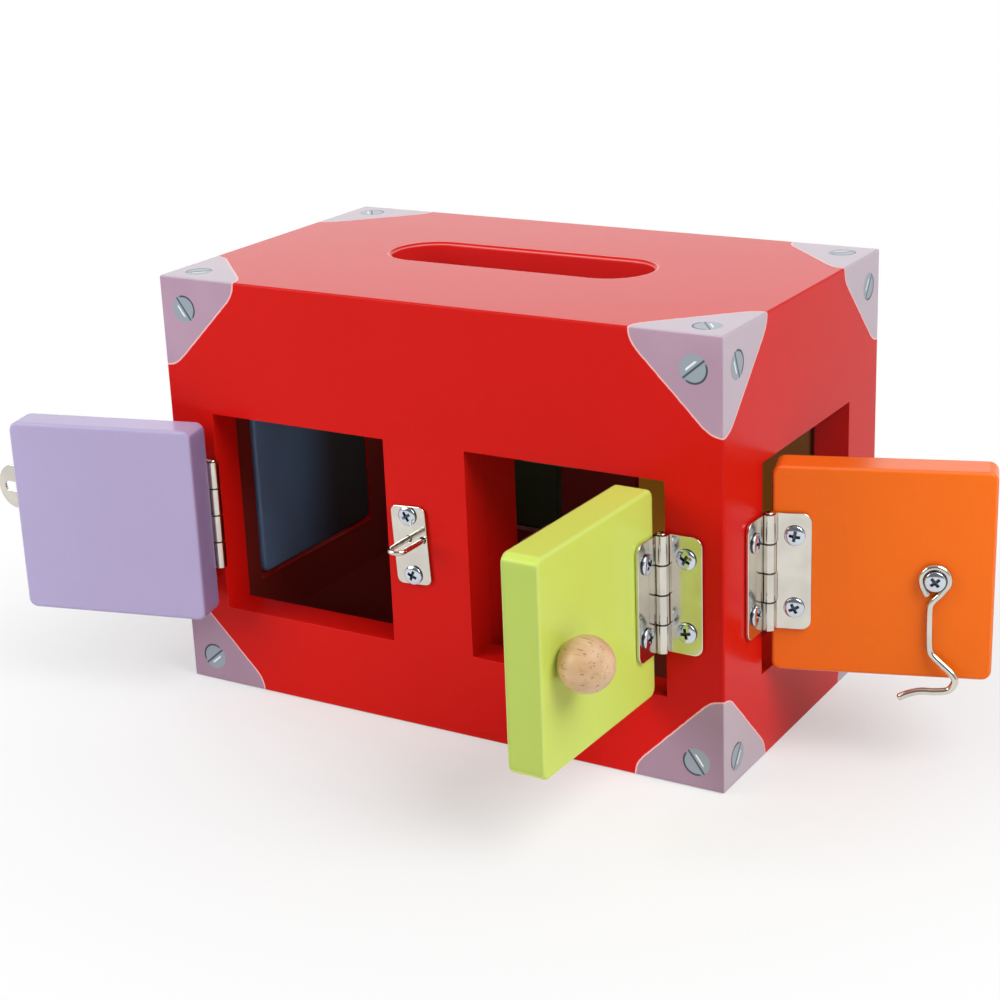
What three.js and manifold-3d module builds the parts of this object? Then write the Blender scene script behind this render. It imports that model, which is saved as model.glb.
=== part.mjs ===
// Wooden latch box: a red box with six small doors, each hung on a butt hinge and kept by a latch of its own.
// Millimetres, +Z up. The origin is the middle of the underside, and the long front faces -Y.
// Every wall is drawn as seen from outside: x to the right, z up, and n outwards, which is -y.
import * as THREE from 'three';
import Module from 'manifold-3d';
import { mergeVertices } from 'three/addons/utils/BufferGeometryUtils.js';

// Box
const boxLength = 270;
const boxDepth = 160;
const boxHeight = 190;
const wall = 16;
const boxEase = 1.5;
const boxCorner = 2;
const battenDepth = 24;

// Hand slot in the top
const slotLength = 127;
const slotWidth = 36;
const slotRim = 3;
const slotShiftX = -2.1;
const slotShiftY = 5;

// Wood left round the doorways: below, above, between the two of a long wall, and beside them
const sillHeight = 38;
const headHeight = 60.5;
const stileWidth = 40;
const leftOuterStile = 23.25;
const rightOuterStile = 25.25;
const endStile = 34.25;
const stileShift = -1.75;
const rightEndShift = 2;
const leftEndShift = -0.5;

// Doors
const hingeSideGap = 0.6;
const leftLatchGap = 1.4;
const latchSideGap = 2.9;
const topGap = 1.75;
const doorCorner = 4;
const doorEase = 2;

// Fits
const seatGap = 0.25;
const holeClear = 0.3;
const overrun = 2;

// Hinges: the leaves' knuckles stand between each other on one pin
const hingeLength = 50;
const knuckleCount = 4;
const knuckleGap = 0.3;
const barrelRadius = 2.8;
const boreRadius = 1.6;
const pinRadius = 1.25;
const pinHeadRadius = 2;
const pinHeadHeight = 0.7;
const leafThickness = 1.4;
const leafReach = 16.8;
const leafCorner = 4;
const leafClear = 0.5;
const hingeScrewReach = 10;
const hingeScrewSpacing = 31;

// Pan head wood screws
const screwHead = 4.25;
const screwHeadHeight = 1.6;
const screwShank = 1.5;
const screwLength = 11;
const smallScrewHead = 2.6;
const smallScrewHeadHeight = 1.1;
const smallScrewShank = 1.1;
const smallScrewLength = 9;

// Staple that the hasp drops over
const stapleInset = 12.15;
const stapleZ = 84.7;
const stapleWidth = 17;
const stapleHeight = 35;
const stapleThickness = 1.2;
const stapleCorner = 3;
const stapleScrewSpacing = 26.5;
const loopInset = 14.95;
const loopZ = 87.5;
const loopHalfWidth = 3.5;
const loopReach = 19.5;
const loopWire = 1.2;
const loopRoot = 9;

// Hasp on the purple door
const haspPinInset = 12;
const haspBarrel = 2.2;
const haspBore = 1.2;
const haspPinRadius = 0.9;
const haspKnuckles = 3;
const haspThickness = 1.2;
const haspHeight = 21;
const haspLeafReach = 23;
const haspScrewReach = 14;
const haspScrewSpacing = 11;
const haspCorner = 3;
const haspEndMargin = 4;
const haspSlotEndClear = 2.6;
const haspSlotSideClear = 1;
const haspSwing = 15;

// Ball knob on the lime door
const knobRadius = 10.9;
const knobFoot = 4.5;
const knobInset = 15.4;
const knobHoleDepth = 9;

// Magnetic catch over the lime doorway
const catchInset = 27.4;
const catchWidth = 28;
const catchDepth = 11;
const catchHang = 7.2;
const catchRise = 10;
const catchFlangeWidth = 38;
const catchFlangeHeight = 14;
const catchFlangeThickness = 1.2;
const magnetWidth = 18;
const magnetHeight = 4.5;
const magnetDepth = 6;
const strikeWidth = 22;
const strikeHeight = 13;
const strikeThickness = 1;

// Hook on the orange door and its screw eye
const hookInset = 23.1;
const hookZ = -0.9;
const hookWire = 1.5;
const hookRing = 5.4;
const hookCollar = 3.2;
const hookLift = 3.3;
const eyeInner = 4.4;
const eyeWire = 1;
const eyeRoot = 9;
const eyeDrop = 3;

// Slide bolts on the blue and gold doors
const boltRadius = 2.5;
const boltTravel = 14;
const boltPlateLength = 34;
const boltPlateWidth = 22;
const boltPlateThickness = 1.2;
const boltCorner = 2.5;
const guideLength = 6;
const guideWall = 1.3;
const boltClear = 0.3;
const boltEdgeMargin = 2.4;
const boltScrewInset = 4;
const boltPost = 1.6;
const boltPostHeight = 6.5;
const boltBall = 3;
const keeperLength = 12;
const goldBoltInset = 15.4;

// Turn button beside the green door
const buttonLength = 32;
const buttonWidth = 12;
const buttonThickness = 6;
const buttonEase = 1.2;
const buttonInset = 9;

// Angles at which the photographed doors stand, in degrees from shut
const purpleAngle = 166;
const limeAngle = 89;
const orangeAngle = 72;

// Facets
const roundSteps = 12;
const barrelSteps = 5;
const smallSteps = 8;
const easeSteps = 2;
const cornerSteps = 3;
const slotSteps = 5;
const wireSides = 8;

const axisProud = barrelRadius + seatGap;
const endOpeningWidth = boxDepth - 2 * endStile;
const openingHeight = boxHeight - sillHeight - headHeight;
const doorHeight = openingHeight - 2 * topGap;
const doorMid = sillHeight + openingHeight / 2;

const wasm = await Module();
wasm.setup();

// Finishes
const paint = (colour) => new THREE.MeshStandardMaterial({ color: colour, roughness: 0.42, metalness: 0 });
const redPaint = paint(0xc8231e);
const nickel = new THREE.MeshStandardMaterial({ color: 0xd9d6cf, roughness: 0.16, metalness: 1 });
const beech = new THREE.MeshStandardMaterial({ color: 0xd4b088, roughness: 0.55, metalness: 0 });
const catchPlastic = new THREE.MeshStandardMaterial({ color: 0xeae6dc, roughness: 0.5, metalness: 0 });
const ferrite = new THREE.MeshStandardMaterial({ color: 0x3a3a3c, roughness: 0.6, metalness: 0.3 });

// A closed three.js geometry as a solid that can be cut and joined.
function solid(geometry) {
  const bare = geometry.index ? geometry.toNonIndexed() : geometry.clone();
  bare.deleteAttribute('normal');
  bare.deleteAttribute('uv');
  const merged = mergeVertices(bare);
  return new wasm.Manifold(new wasm.Mesh({
    numProp: 3,
    vertProperties: merged.attributes.position.array,
    triVerts: merged.index.array,
  }));
}

function named(name, shape, material) {
  const made = shape.getMesh();
  const geometry = new THREE.BufferGeometry();
  geometry.setAttribute('position', new THREE.BufferAttribute(made.vertProperties, 3));
  geometry.setIndex(new THREE.BufferAttribute(made.triVerts, 1));
  geometry.computeVertexNormals();
  const mesh = new THREE.Mesh(geometry, material);
  mesh.name = name;
  return mesh;
}

function place(group, x, y, z) {
  group.position.set(x, y, z);
  return group;
}

// Outline of a rectangle with round corners, its middle at x, z.
function roundedRectangle(width, height, radius, x = 0, z = 0) {
  const right = width / 2;
  const top = height / 2;
  const outline = new THREE.Shape();
  outline.absarc(x + right - radius, z - top + radius, radius, -Math.PI / 2, 0, false);
  outline.absarc(x + right - radius, z + top - radius, radius, 0, Math.PI / 2, false);
  outline.absarc(x - right + radius, z + top - radius, radius, Math.PI / 2, Math.PI, false);
  outline.absarc(x - right + radius, z - top + radius, radius, Math.PI, Math.PI * 3 / 2, false);
  return outline;
}

// An outline in x and z, from n0 out to n1.
function slab(outline, n0, n1, steps = cornerSteps) {
  const geometry = new THREE.ExtrudeGeometry(outline, {
    depth: n1 - n0,
    bevelEnabled: false,
    curveSegments: steps,
  });
  return solid(geometry.rotateX(Math.PI / 2).translate(0, -n0, 0));
}

// The same with eased edges all round, on holes too.
function easedSlab(outline, n0, n1, ease, steps = cornerSteps) {
  const geometry = new THREE.ExtrudeGeometry(outline, {
    depth: n1 - n0 - 2 * ease,
    bevelThickness: ease,
    bevelSize: ease,
    bevelOffset: -ease,
    bevelSegments: easeSteps,
    curveSegments: steps,
  });
  return solid(geometry.rotateX(Math.PI / 2).translate(0, -n0 - ease, 0));
}

// A box between two values of x, n and z.
function block(x0, x1, n0, n1, z0, z1) {
  const geometry = new THREE.BoxGeometry(x1 - x0, n1 - n0, z1 - z0);
  return solid(geometry.translate((x0 + x1) / 2, -(n0 + n1) / 2, (z0 + z1) / 2));
}

// A profile of [radius, n] turned round a line that stands out from the wall at x, z.
function turned(profile, x, z, steps = roundSteps) {
  const points = profile.map(([radius, n]) => new THREE.Vector2(radius, n));
  const geometry = new THREE.LatheGeometry(points, steps);
  return solid(geometry.rotateX(Math.PI).translate(x, 0, z));
}

// A profile of [radius, height] turned round a line that stands upright at x, y.
function upright(profile, x, y, steps = roundSteps) {
  const points = profile.map(([radius, height]) => new THREE.Vector2(radius, height));
  const geometry = new THREE.LatheGeometry(points, steps);
  return solid(geometry.rotateX(Math.PI / 2).translate(x, y, 0));
}

// A pan head screw whose head sits on the face at n.
function screw(x, z, n, size = 'large') {
  const small = size === 'small';
  const head = small ? smallScrewHead : screwHead;
  const height = small ? smallScrewHeadHeight : screwHeadHeight;
  const shank = small ? smallScrewShank : screwShank;
  const length = small ? smallScrewLength : screwLength;
  return turned([
    [0, n - length],
    [shank, n - length],
    [shank, n],
    [head, n],
    [head, n + height * rimShare],
    [head * crownShare, n + height],
    [0, n + height],
  ], x, z, smallSteps);
}

// A round hole that goes from n0 to n1.
function bore(radius, x, z, n0, n1) {
  return turned([[0, n0], [radius, n0], [radius, n1], [0, n1]], x, z, smallSteps);
}

// The hole that a screw's shank goes into, from the wood's face at n.
function pilot(x, z, n = 0, size = 'large') {
  const small = size === 'small';
  const shank = (small ? smallScrewShank : screwShank) + holeClear;
  const depth = (small ? smallScrewLength : screwLength) + holeClear;
  return bore(shank, x, z, n - depth, n + overrun);
}

// A round bar along x, at n and z.
function rod(radius, x0, x1, n, z, steps = smallSteps) {
  const profile = [[0, x0], [radius, x0], [radius, x1], [0, x1]];
  const points = profile.map(([reach, x]) => new THREE.Vector2(reach, x));
  const geometry = new THREE.LatheGeometry(points, steps);
  return solid(geometry.rotateZ(-Math.PI / 2).translate(0, -n, z));
}

// A wire of round section along a curve.
function wire(curve, radius, steps) {
  const section = new THREE.Shape().absarc(0, 0, radius, 0, Math.PI * 2, false);
  return solid(new THREE.ExtrudeGeometry(section, {
    extrudePath: curve,
    steps,
    curveSegments: wireSides / 2,
  }));
}

// Shares of a screw head's height and radius at which its crown begins
const rimShare = 0.35;
const crownShare = 0.55;

// Doorways: width, gap beside the latch, x of the hinge axis on the wall,
// and 1 where the hinge is on the left, -1 where it is on the right
const stileLeft = stileShift - stileWidth / 2;
const stileRight = stileLeft + stileWidth;
const leftEdge = leftOuterStile - boxLength / 2;
const rightEdge = boxLength / 2 - rightOuterStile;
const left = { width: stileLeft - leftEdge, latchGap: leftLatchGap, axis: leftEdge, hand: 1 };
const right = { width: rightEdge - stileRight, latchGap: latchSideGap, axis: rightEdge, hand: -1 };
const inEnd = (shift) => ({
  width: endOpeningWidth,
  latchGap: latchSideGap,
  axis: shift - endOpeningWidth / 2,
  hand: 1,
});
const doorways = {
  purple: { side: 'front', ...left, angle: purpleAngle, colour: 0xaea3c8 },
  lime: { side: 'front', ...right, angle: limeAngle, colour: 0xcad867 },
  orange: { side: 'right_end', ...inEnd(rightEndShift), angle: orangeAngle, colour: 0xec7024 },
  gold: { side: 'back', ...left, angle: 0, colour: 0xe8b12e },
  green: { side: 'back', ...right, angle: 0, colour: 0x3f8a4a },
  blue: { side: 'left_end', ...inEnd(leftEndShift), angle: 0, colour: 0x4f86b8 },
};

function wallX(doorway, x) {
  return doorway.axis + doorway.hand * x;
}

const box = new THREE.Group();
const walls = {
  front: place(new THREE.Group(), 0, -boxDepth / 2, 0),
  right_end: place(new THREE.Group(), boxLength / 2, 0, 0),
  back: place(new THREE.Group(), 0, boxDepth / 2, 0),
  left_end: place(new THREE.Group(), -boxLength / 2, 0, 0),
};
walls.right_end.rotation.z = Math.PI / 2;
walls.back.rotation.z = Math.PI;
walls.left_end.rotation.z = -Math.PI / 2;
Object.values(walls).forEach((group) => box.add(group));

// Each doorway's frame stands on its hinge axis at the door's middle height, and its door turns in it.
for (const doorway of Object.values(doorways)) {
  doorway.doorEnd = doorway.width - doorway.latchGap;
  doorway.frame = place(new THREE.Group(), doorway.axis, -axisProud, doorMid);
  doorway.frame.scale.x = doorway.hand;
  doorway.door = new THREE.Group();
  doorway.door.rotation.z = -THREE.MathUtils.degToRad(doorway.angle);
  doorway.frame.add(doorway.door);
  walls[doorway.side].add(doorway.frame);
}

// Inside a doorway's frame n counts from the hinge axis, so the wall's face is at -axisProud.
const face = -axisProud;

// Walls
const pilots = { front: [], right_end: [], back: [], left_end: [] };

function wallPanel(name, side, width) {
  const easedWidth = width === boxLength ? width : width + 2 * (boxCorner + overrun);
  const outline = roundedRectangle(easedWidth, boxHeight, boxCorner, 0, boxHeight / 2);
  let panel = easedSlab(outline, -wall - boxEase - overrun, 0, boxEase, easeSteps);
  panel = panel.intersect(block(-width / 2, width / 2, -wall, overrun, -overrun, boxHeight + overrun));
  for (const doorway of Object.values(doorways).filter((one) => one.side === side)) {
    const edges = [wallX(doorway, 0), wallX(doorway, doorway.width)].sort((a, b) => a - b);
    const top = boxHeight - headHeight;
    panel = panel.subtract(block(edges[0], edges[1], -wall - overrun, overrun, sillHeight, top));
    for (const turn of [-1, 1]) {
      const z = doorMid + turn * hingeScrewSpacing / 2;
      panel = panel.subtract(pilot(wallX(doorway, -hingeScrewReach), z));
    }
  }
  pilots[side].forEach((hole) => {
    panel = panel.subtract(hole);
  });
  walls[side].add(named(name, panel, redPaint));
}

// Hinges
const knuckleLength = (hingeLength - (knuckleCount - 1) * knuckleGap) / knuckleCount;

// One knuckle: a ring round the pin, with a web to its leaf that is level with the leaf's seat.
function knuckle(radius, hole, webUnder, webOver, reach, z0, length) {
  const outline = new THREE.Shape();
  const start = Math.asin(webOver / radius);
  const end = Math.asin(Math.min(webUnder / radius, 1));
  outline.moveTo(reach, webOver);
  outline.lineTo(radius * Math.cos(start), webOver);
  outline.absarc(0, 0, radius, start, end - 2 * Math.PI, true);
  outline.lineTo(reach, webUnder);
  outline.holes.push(new THREE.Path().absarc(0, 0, hole, 0, Math.PI * 2, false));
  const geometry = new THREE.ExtrudeGeometry(outline, {
    depth: length,
    bevelEnabled: false,
    curveSegments: barrelSteps,
  });
  return solid(geometry.translate(0, 0, z0));
}

function hingeLeaf(onDoor) {
  const inner = barrelRadius + leafClear;
  const seat = -barrelRadius;
  const outline = new THREE.Shape();
  const top = hingeLength / 2;
  outline.moveTo(inner, -top);
  outline.lineTo(leafReach - leafCorner, -top);
  outline.absarc(leafReach - leafCorner, -top + leafCorner, leafCorner, -Math.PI / 2, 0, false);
  outline.absarc(leafReach - leafCorner, top - leafCorner, leafCorner, 0, Math.PI / 2, false);
  outline.lineTo(inner, top);
  let leaf = slab(outline, seat, seat + leafThickness);
  for (let index = onDoor ? 0 : 1; index < knuckleCount; index += 2) {
    const z0 = top - (index + 1) * knuckleLength - index * knuckleGap;
    const under = barrelRadius;
    const web = [under, under - leafThickness, inner + leafClear];
    leaf = leaf.add(knuckle(barrelRadius, boreRadius, ...web, z0, knuckleLength));
  }
  for (const turn of [-1, 1]) {
    leaf = leaf.add(screw(hingeScrewReach, turn * hingeScrewSpacing / 2, seat + leafThickness));
  }
  return leaf;
}

function hinge(colour, doorway) {
  const boxSide = new THREE.Group();
  boxSide.scale.x = -1;
  boxSide.add(named(`${colour}_box_leaf`, hingeLeaf(false), nickel));
  doorway.frame.add(boxSide);
  doorway.door.add(named(`${colour}_door_leaf`, hingeLeaf(true), nickel));
  const top = hingeLength / 2;
  const pin = upright([
    [0, -top],
    [pinRadius, -top],
    [pinRadius, top + knuckleGap],
    [pinHeadRadius, top + knuckleGap],
    [pinHeadRadius * crownShare, top + knuckleGap + pinHeadHeight],
    [0, top + knuckleGap + pinHeadHeight],
  ], 0, 0, smallSteps);
  doorway.frame.add(named(`${colour}_hinge_pin`, pin, nickel));
}

// Doors
const doorHoles = { purple: [], lime: [], orange: [], gold: [], green: [], blue: [] };

function door(colour, doorway) {
  const width = doorway.doorEnd - hingeSideGap;
  const outline = roundedRectangle(width, doorHeight, doorCorner, hingeSideGap + width / 2, 0);
  let board = easedSlab(outline, face - wall, face, doorEase, easeSteps);
  for (const turn of [-1, 1]) {
    board = board.subtract(pilot(hingeScrewReach, turn * hingeScrewSpacing / 2, face));
  }
  doorHoles[colour].forEach((hole) => {
    board = board.subtract(hole);
  });
  doorway.door.add(named(`${colour}_door`, board, paint(doorway.colour)));
}

// Hasp and staple
const loopX = stileLeft + loopInset;

function staple() {
  const stapleX = stileLeft + stapleInset;
  const n1 = seatGap + stapleThickness;
  const outline = roundedRectangle(stapleWidth, stapleHeight, stapleCorner, stapleX, stapleZ);
  let plate = slab(outline, seatGap, n1);
  for (const turn of [-1, 1]) {
    const z = stapleZ + turn * stapleScrewSpacing / 2;
    plate = plate.add(screw(stapleX, z, n1));
    const legHole = [loopWire + holeClear, loopX + turn * loopHalfWidth, loopZ];
    plate = plate.subtract(bore(...legHole, 0, n1 + overrun));
    pilots.front.push(pilot(stapleX, z));
    pilots.front.push(bore(...legHole, -loopRoot - holeClear, overrun));
  }
  walls.front.add(named('staple_plate', plate, nickel));
  const bend = -(loopReach - loopWire - loopHalfWidth);
  const path = new THREE.CurvePath();
  const left = loopX - loopHalfWidth;
  const right = loopX + loopHalfWidth;
  const points = [new THREE.Vector3(left, loopRoot, loopZ), new THREE.Vector3(left, bend, loopZ)];
  path.add(new THREE.LineCurve3(points[0], points[1]));
  path.add(new LoopBend(loopX, bend, loopZ, loopHalfWidth));
  const rightLeg = [new THREE.Vector3(right, bend, loopZ), new THREE.Vector3(right, loopRoot, loopZ)];
  path.add(new THREE.LineCurve3(...rightLeg));
  walls.front.add(named('staple_loop', wire(path, loopWire, loopSteps), nickel));
}

// Half a turn in a level plane, from the left leg round the front to the right leg.
class LoopBend extends THREE.Curve {
  constructor(x, y, z, radius) {
    super();
    this.middle = new THREE.Vector3(x, y, z);
    this.radius = radius;
  }

  getPoint(share) {
    const angle = Math.PI * (1 + share);
    const offset = new THREE.Vector3(Math.cos(angle), Math.sin(angle), 0).multiplyScalar(this.radius);
    return offset.add(this.middle);
  }
}

const loopSteps = 22;

function hasp(doorway) {
  const haspPinX = doorway.doorEnd - haspPinInset;
  const haspZ = loopZ - doorMid;
  const pinN = face + seatGap + haspBarrel;
  const seat = -haspBarrel;
  const top = haspHeight / 2;
  const length = (haspHeight - (haspKnuckles - 1) * knuckleGap) / haspKnuckles;
  const inner = haspBarrel + leafClear;

  // Fixed leaf, with the top and bottom knuckles
  const outline = new THREE.Shape();
  outline.moveTo(inner, -top);
  outline.lineTo(haspLeafReach - haspCorner, -top);
  outline.absarc(haspLeafReach - haspCorner, -top + haspCorner, haspCorner, -Math.PI / 2, 0, false);
  outline.absarc(haspLeafReach - haspCorner, top - haspCorner, haspCorner, 0, Math.PI / 2, false);
  outline.lineTo(inner, top);
  let leaf = slab(outline, seat, seat + haspThickness);
  const web = [haspBarrel, haspBarrel - haspThickness, inner + leafClear];
  leaf = leaf.add(knuckle(haspBarrel, haspBore, ...web, top - length, length));
  leaf = leaf.add(knuckle(haspBarrel, haspBore, ...web, -top, length));
  for (const turn of [-1, 1]) {
    leaf = leaf.add(screw(haspScrewReach, turn * haspScrewSpacing / 2, seat + haspThickness));
    doorHoles.purple.push(pilot(haspPinX - haspScrewReach, haspZ + turn * haspScrewSpacing / 2, face));
  }
  const fixed = place(new THREE.Group(), haspPinX, -pinN, haspZ);
  const mirrored = new THREE.Group();
  mirrored.scale.x = -1;
  mirrored.add(named('hasp_leaf', leaf, nickel));
  fixed.add(mirrored);
  const pin = upright([[0, -top], [haspPinRadius, -top], [haspPinRadius, top], [0, top]], 0, 0, smallSteps);
  fixed.add(named('hasp_pin', pin, nickel));

  // Strap, drawn shut: level with the top of its barrel, over the staple's screws,
  // with the loop through its slot
  const over = -haspBarrel;
  const under = over + haspThickness;
  const slotMiddle = loopX - doorways.purple.axis - haspPinX;
  const slotHalf = loopHalfWidth + loopWire + haspSlotEndClear;
  const tip = slotMiddle + slotHalf + haspEndMargin;
  const strapOutline = new THREE.Shape();
  strapOutline.moveTo(inner, -top);
  strapOutline.lineTo(tip - top, -top);
  strapOutline.absarc(tip - top, 0, top, -Math.PI / 2, Math.PI / 2, false);
  strapOutline.lineTo(inner, top);
  const slotHeight = 2 * (loopWire + haspSlotSideClear);
  const slotCorner = slotHeight / 2;
  const slot = roundedRectangle(2 * slotHalf, slotHeight, slotCorner, slotMiddle, 0);
  let strap = slab(strapOutline, -under, -over, roundSteps / 2);
  strap = strap.subtract(slab(slot, -under - overrun, -over + overrun, easeSteps));
  const middle = knuckle(haspBarrel, haspBore, under, over, inner + leafClear, -length / 2, length);
  const moving = new THREE.Group();
  moving.rotation.z = -THREE.MathUtils.degToRad(haspSwing);
  moving.add(named('hasp_strap', strap.add(middle), nickel));
  fixed.add(moving);
  doorway.door.add(fixed);
}

// Ball knob and magnetic catch
function knobAndCatch(doorway) {
  const knobX = doorway.doorEnd - knobInset;
  const catchX = doorway.doorEnd - catchInset;
  const rise = Math.sqrt(knobRadius ** 2 - knobFoot ** 2);
  const foot = face + seatGap;
  const profile = [[0, foot]];
  const start = -Math.acos(knobFoot / knobRadius);
  for (let step = 0; step <= knobSteps; step += 1) {
    const angle = start + (Math.PI / 2 - start) * step / knobSteps;
    const radius = step === knobSteps ? 0 : knobRadius * Math.cos(angle);
    profile.push([radius, foot + rise + knobRadius * Math.sin(angle)]);
  }
  const hole = bore(screwShank + holeClear, knobX, 0, foot - overrun, foot + knobHoleDepth);
  const ball = turned(profile, knobX, 0, roundSteps + easeSteps).subtract(hole);
  doorway.door.add(named('knob', ball, beech));
  const inside = face - wall - seatGap;
  const shankEnd = foot + knobHoleDepth - holeClear;
  const knobScrew = turned([
    [0, inside - screwHeadHeight],
    [screwHead * crownShare, inside - screwHeadHeight],
    [screwHead, inside - screwHeadHeight * rimShare],
    [screwHead, inside],
    [screwShank, inside],
    [screwShank, shankEnd],
    [0, shankEnd],
  ], knobX, 0, smallSteps);
  doorway.door.add(named('knob_screw', knobScrew, nickel));
  doorHoles.lime.push(bore(screwShank + holeClear, knobX, 0, face - wall - overrun, face + overrun));

  // The case hangs below the doorway's head, behind the shut door, and the strike lies on the door's back
  const doorTop = doorHeight / 2;
  const head = openingHeight / 2;
  const back = face - wall;
  const strikeTop = doorTop - strikeThickness;
  const strikeUnder = strikeTop - strikeHeight;
  const strikeBack = back - seatGap - strikeThickness;
  const strikeSpan = [catchX - strikeWidth / 2, catchX + strikeWidth / 2];
  let strike = block(...strikeSpan, strikeBack, back - seatGap, strikeUnder, strikeTop);
  const strikeScrewZ = strikeUnder + smallScrewHead + strikeThickness;
  const strikeScrew = turned([
    [0, strikeBack - smallScrewHeadHeight],
    [smallScrewHead * crownShare, strikeBack - smallScrewHeadHeight],
    [smallScrewHead, strikeBack],
    [smallScrewShank, strikeBack],
    [smallScrewShank, strikeBack + smallScrewLength],
    [0, strikeBack + smallScrewLength],
  ], catchX, strikeScrewZ, smallSteps);
  strike = strike.add(strikeScrew);
  doorway.door.add(named('strike_plate', strike, nickel));
  const strikeHoleEnd = strikeBack + smallScrewLength + holeClear;
  doorHoles.lime.push(bore(smallScrewShank + holeClear, catchX, strikeScrewZ, back - overrun, strikeHoleEnd));

  const front = strikeBack - seatGap;
  const bottom = head - catchHang;
  const top = head + catchRise;
  const caseSpan = [catchX - catchWidth / 2, catchX + catchWidth / 2];
  let body = block(...caseSpan, front - catchDepth, front, bottom, top);
  const flangeBottom = head + strikeThickness;
  const flangeTop = flangeBottom + catchFlangeHeight;
  const flange = [back - seatGap - catchFlangeThickness - overrun, back - seatGap];
  const flangeSpan = [catchX - catchFlangeWidth / 2, catchX + catchFlangeWidth / 2];
  body = body.add(block(...flangeSpan, ...flange, flangeBottom, flangeTop));
  const magnetSpan = [catchX - magnetWidth / 2, catchX + magnetWidth / 2];
  const magnetBottom = bottom + strikeThickness;
  const pocket = block(
    magnetSpan[0] - seatGap,
    magnetSpan[1] + seatGap,
    front - magnetDepth - seatGap,
    front + overrun,
    magnetBottom - seatGap,
    magnetBottom + magnetHeight + seatGap,
  );
  body = body.subtract(pocket);
  doorway.frame.add(named('magnet_case', body, catchPlastic));
  const magnetTop = magnetBottom + magnetHeight;
  const magnet = block(...magnetSpan, front - magnetDepth, front, magnetBottom, magnetTop);
  doorway.frame.add(named('magnet', magnet, ferrite));
}

const knobSteps = 9;

// Hook and eye
function hookAndEye(doorway) {
  const hookX = doorway.doorEnd - hookInset;
  const seat = hookWire + seatGap;
  const lifted = seat + hookLift;
  const turns = [150, 120, 90, 60, 30, 0, -25, -48];
  const ring = turns.map((degrees) => {
    const angle = THREE.MathUtils.degToRad(degrees);
    return [hookRing * Math.cos(angle), seat, hookRing * Math.sin(angle)];
  });
  // Places along the wire, as shares of the ring's radius: x, how far lifted, z
  const tailShares = [
    [-0.52, 0, -1.2],
    [-0.74, 0, -0.83],
    [-0.93, 0, -0.42],
    [-1, 0, 0.05],
  ];
  const shankShares = [
    [0.36, 0, -1.16],
    [0.02, 0, -1.5],
    [-0.24, 0, -1.85],
    [-0.33, 0, -2.3],
    [-0.33, 0, -3.7],
    [-0.3, 0, -5.1],
    [-0.22, 0, -5.6],
    [0, 0.1, -5.98],
    [0.42, 0.3, -6.35],
    [0.95, 0.6, -6.75],
    [1.4, 0.85, -7.15],
    [1.66, 1, -7.76],
    [1.22, 1, -8.46],
    [0.23, 1, -8.65],
    [-0.84, 1, -8.67],
    [-1.73, 1, -8.93],
    [-2.43, 1, -9.3],
  ];
  const along = ([x, lift, z]) => [x * hookRing, seat + lift * (lifted - seat), z * hookRing];
  const line = [...tailShares.map(along), ...ring, ...shankShares.map(along)];
  const points = line.map(([x, n, z]) => new THREE.Vector3(x, -n, z));
  const curve = new THREE.CatmullRomCurve3(points, false, 'centripetal');
  const hook = place(new THREE.Group(), hookX, axisProud, hookZ);
  hook.add(named('hook', wire(curve, hookWire, hookSteps), nickel));
  doorway.door.add(hook);

  // The hook's screw has a collar that the ring turns on, and its head covers the ring's inner edge
  const headUnder = seat + hookWire;
  const foot = face + seatGap;
  const hookScrew = turned([
    [0, foot - screwLength],
    [screwShank, foot - screwLength + 2 * screwShank],
    [screwShank, foot],
    [hookCollar, foot],
    [hookCollar, face + headUnder],
    [screwHead, face + headUnder],
    [screwHead, face + headUnder + screwHeadHeight * rimShare],
    [screwHead * crownShare, face + headUnder + screwHeadHeight],
    [0, face + headUnder + screwHeadHeight],
  ], hookX, hookZ, smallSteps + cornerSteps);
  doorway.door.add(named('hook_screw', hookScrew, nickel));
  doorHoles.orange.push(pilot(hookX, hookZ, face));

  // The arm hangs inside the eye when the hook is across
  const armReach = armShare * hookRing;
  const eyeX = hookX + armReach + (eyeInner - hookWire) * eyeOffsetShare;
  const eyeN = eyeInner + 2 * eyeWire + seatGap;
  const eyeZ = hookZ - eyeDrop;
  const torus = new THREE.TorusGeometry(eyeInner + eyeWire, eyeWire, wireSides, 2 * smallSteps);
  let eye = solid(torus.translate(eyeX, -(face + eyeN), eyeZ));
  const stemTop = face + eyeN - eyeInner - eyeWire;
  const stem = turned([
    [0, face - eyeRoot],
    [eyeWire, face - eyeRoot + eyeWire],
    [eyeWire, stemTop],
    [0, stemTop],
  ], eyeX, eyeZ, wireSides);
  eye = eye.add(stem);
  doorway.frame.add(named('hook_eye', eye, nickel));
  // It stands in the end grain of the back wall, which is drawn as seen from behind
  const edge = -boxLength / 2;
  const eyeHole = [edge - overrun, edge + eyeRoot + holeClear];
  pilots.back.push(rod(eyeWire + holeClear, ...eyeHole, wallX(doorway, eyeX) - boxDepth / 2, doorMid + eyeZ));
}

const hookSteps = 60;
const armShare = 8.67;
const eyeOffsetShare = 0.72;

// Slide bolts, drawn with the bolt lying along +x and its plate's middle at the origin
const boltN = seatGap + boltPlateThickness + boltClear + boltRadius;
const guideOuter = boltRadius + boltClear + guideWall;

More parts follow.
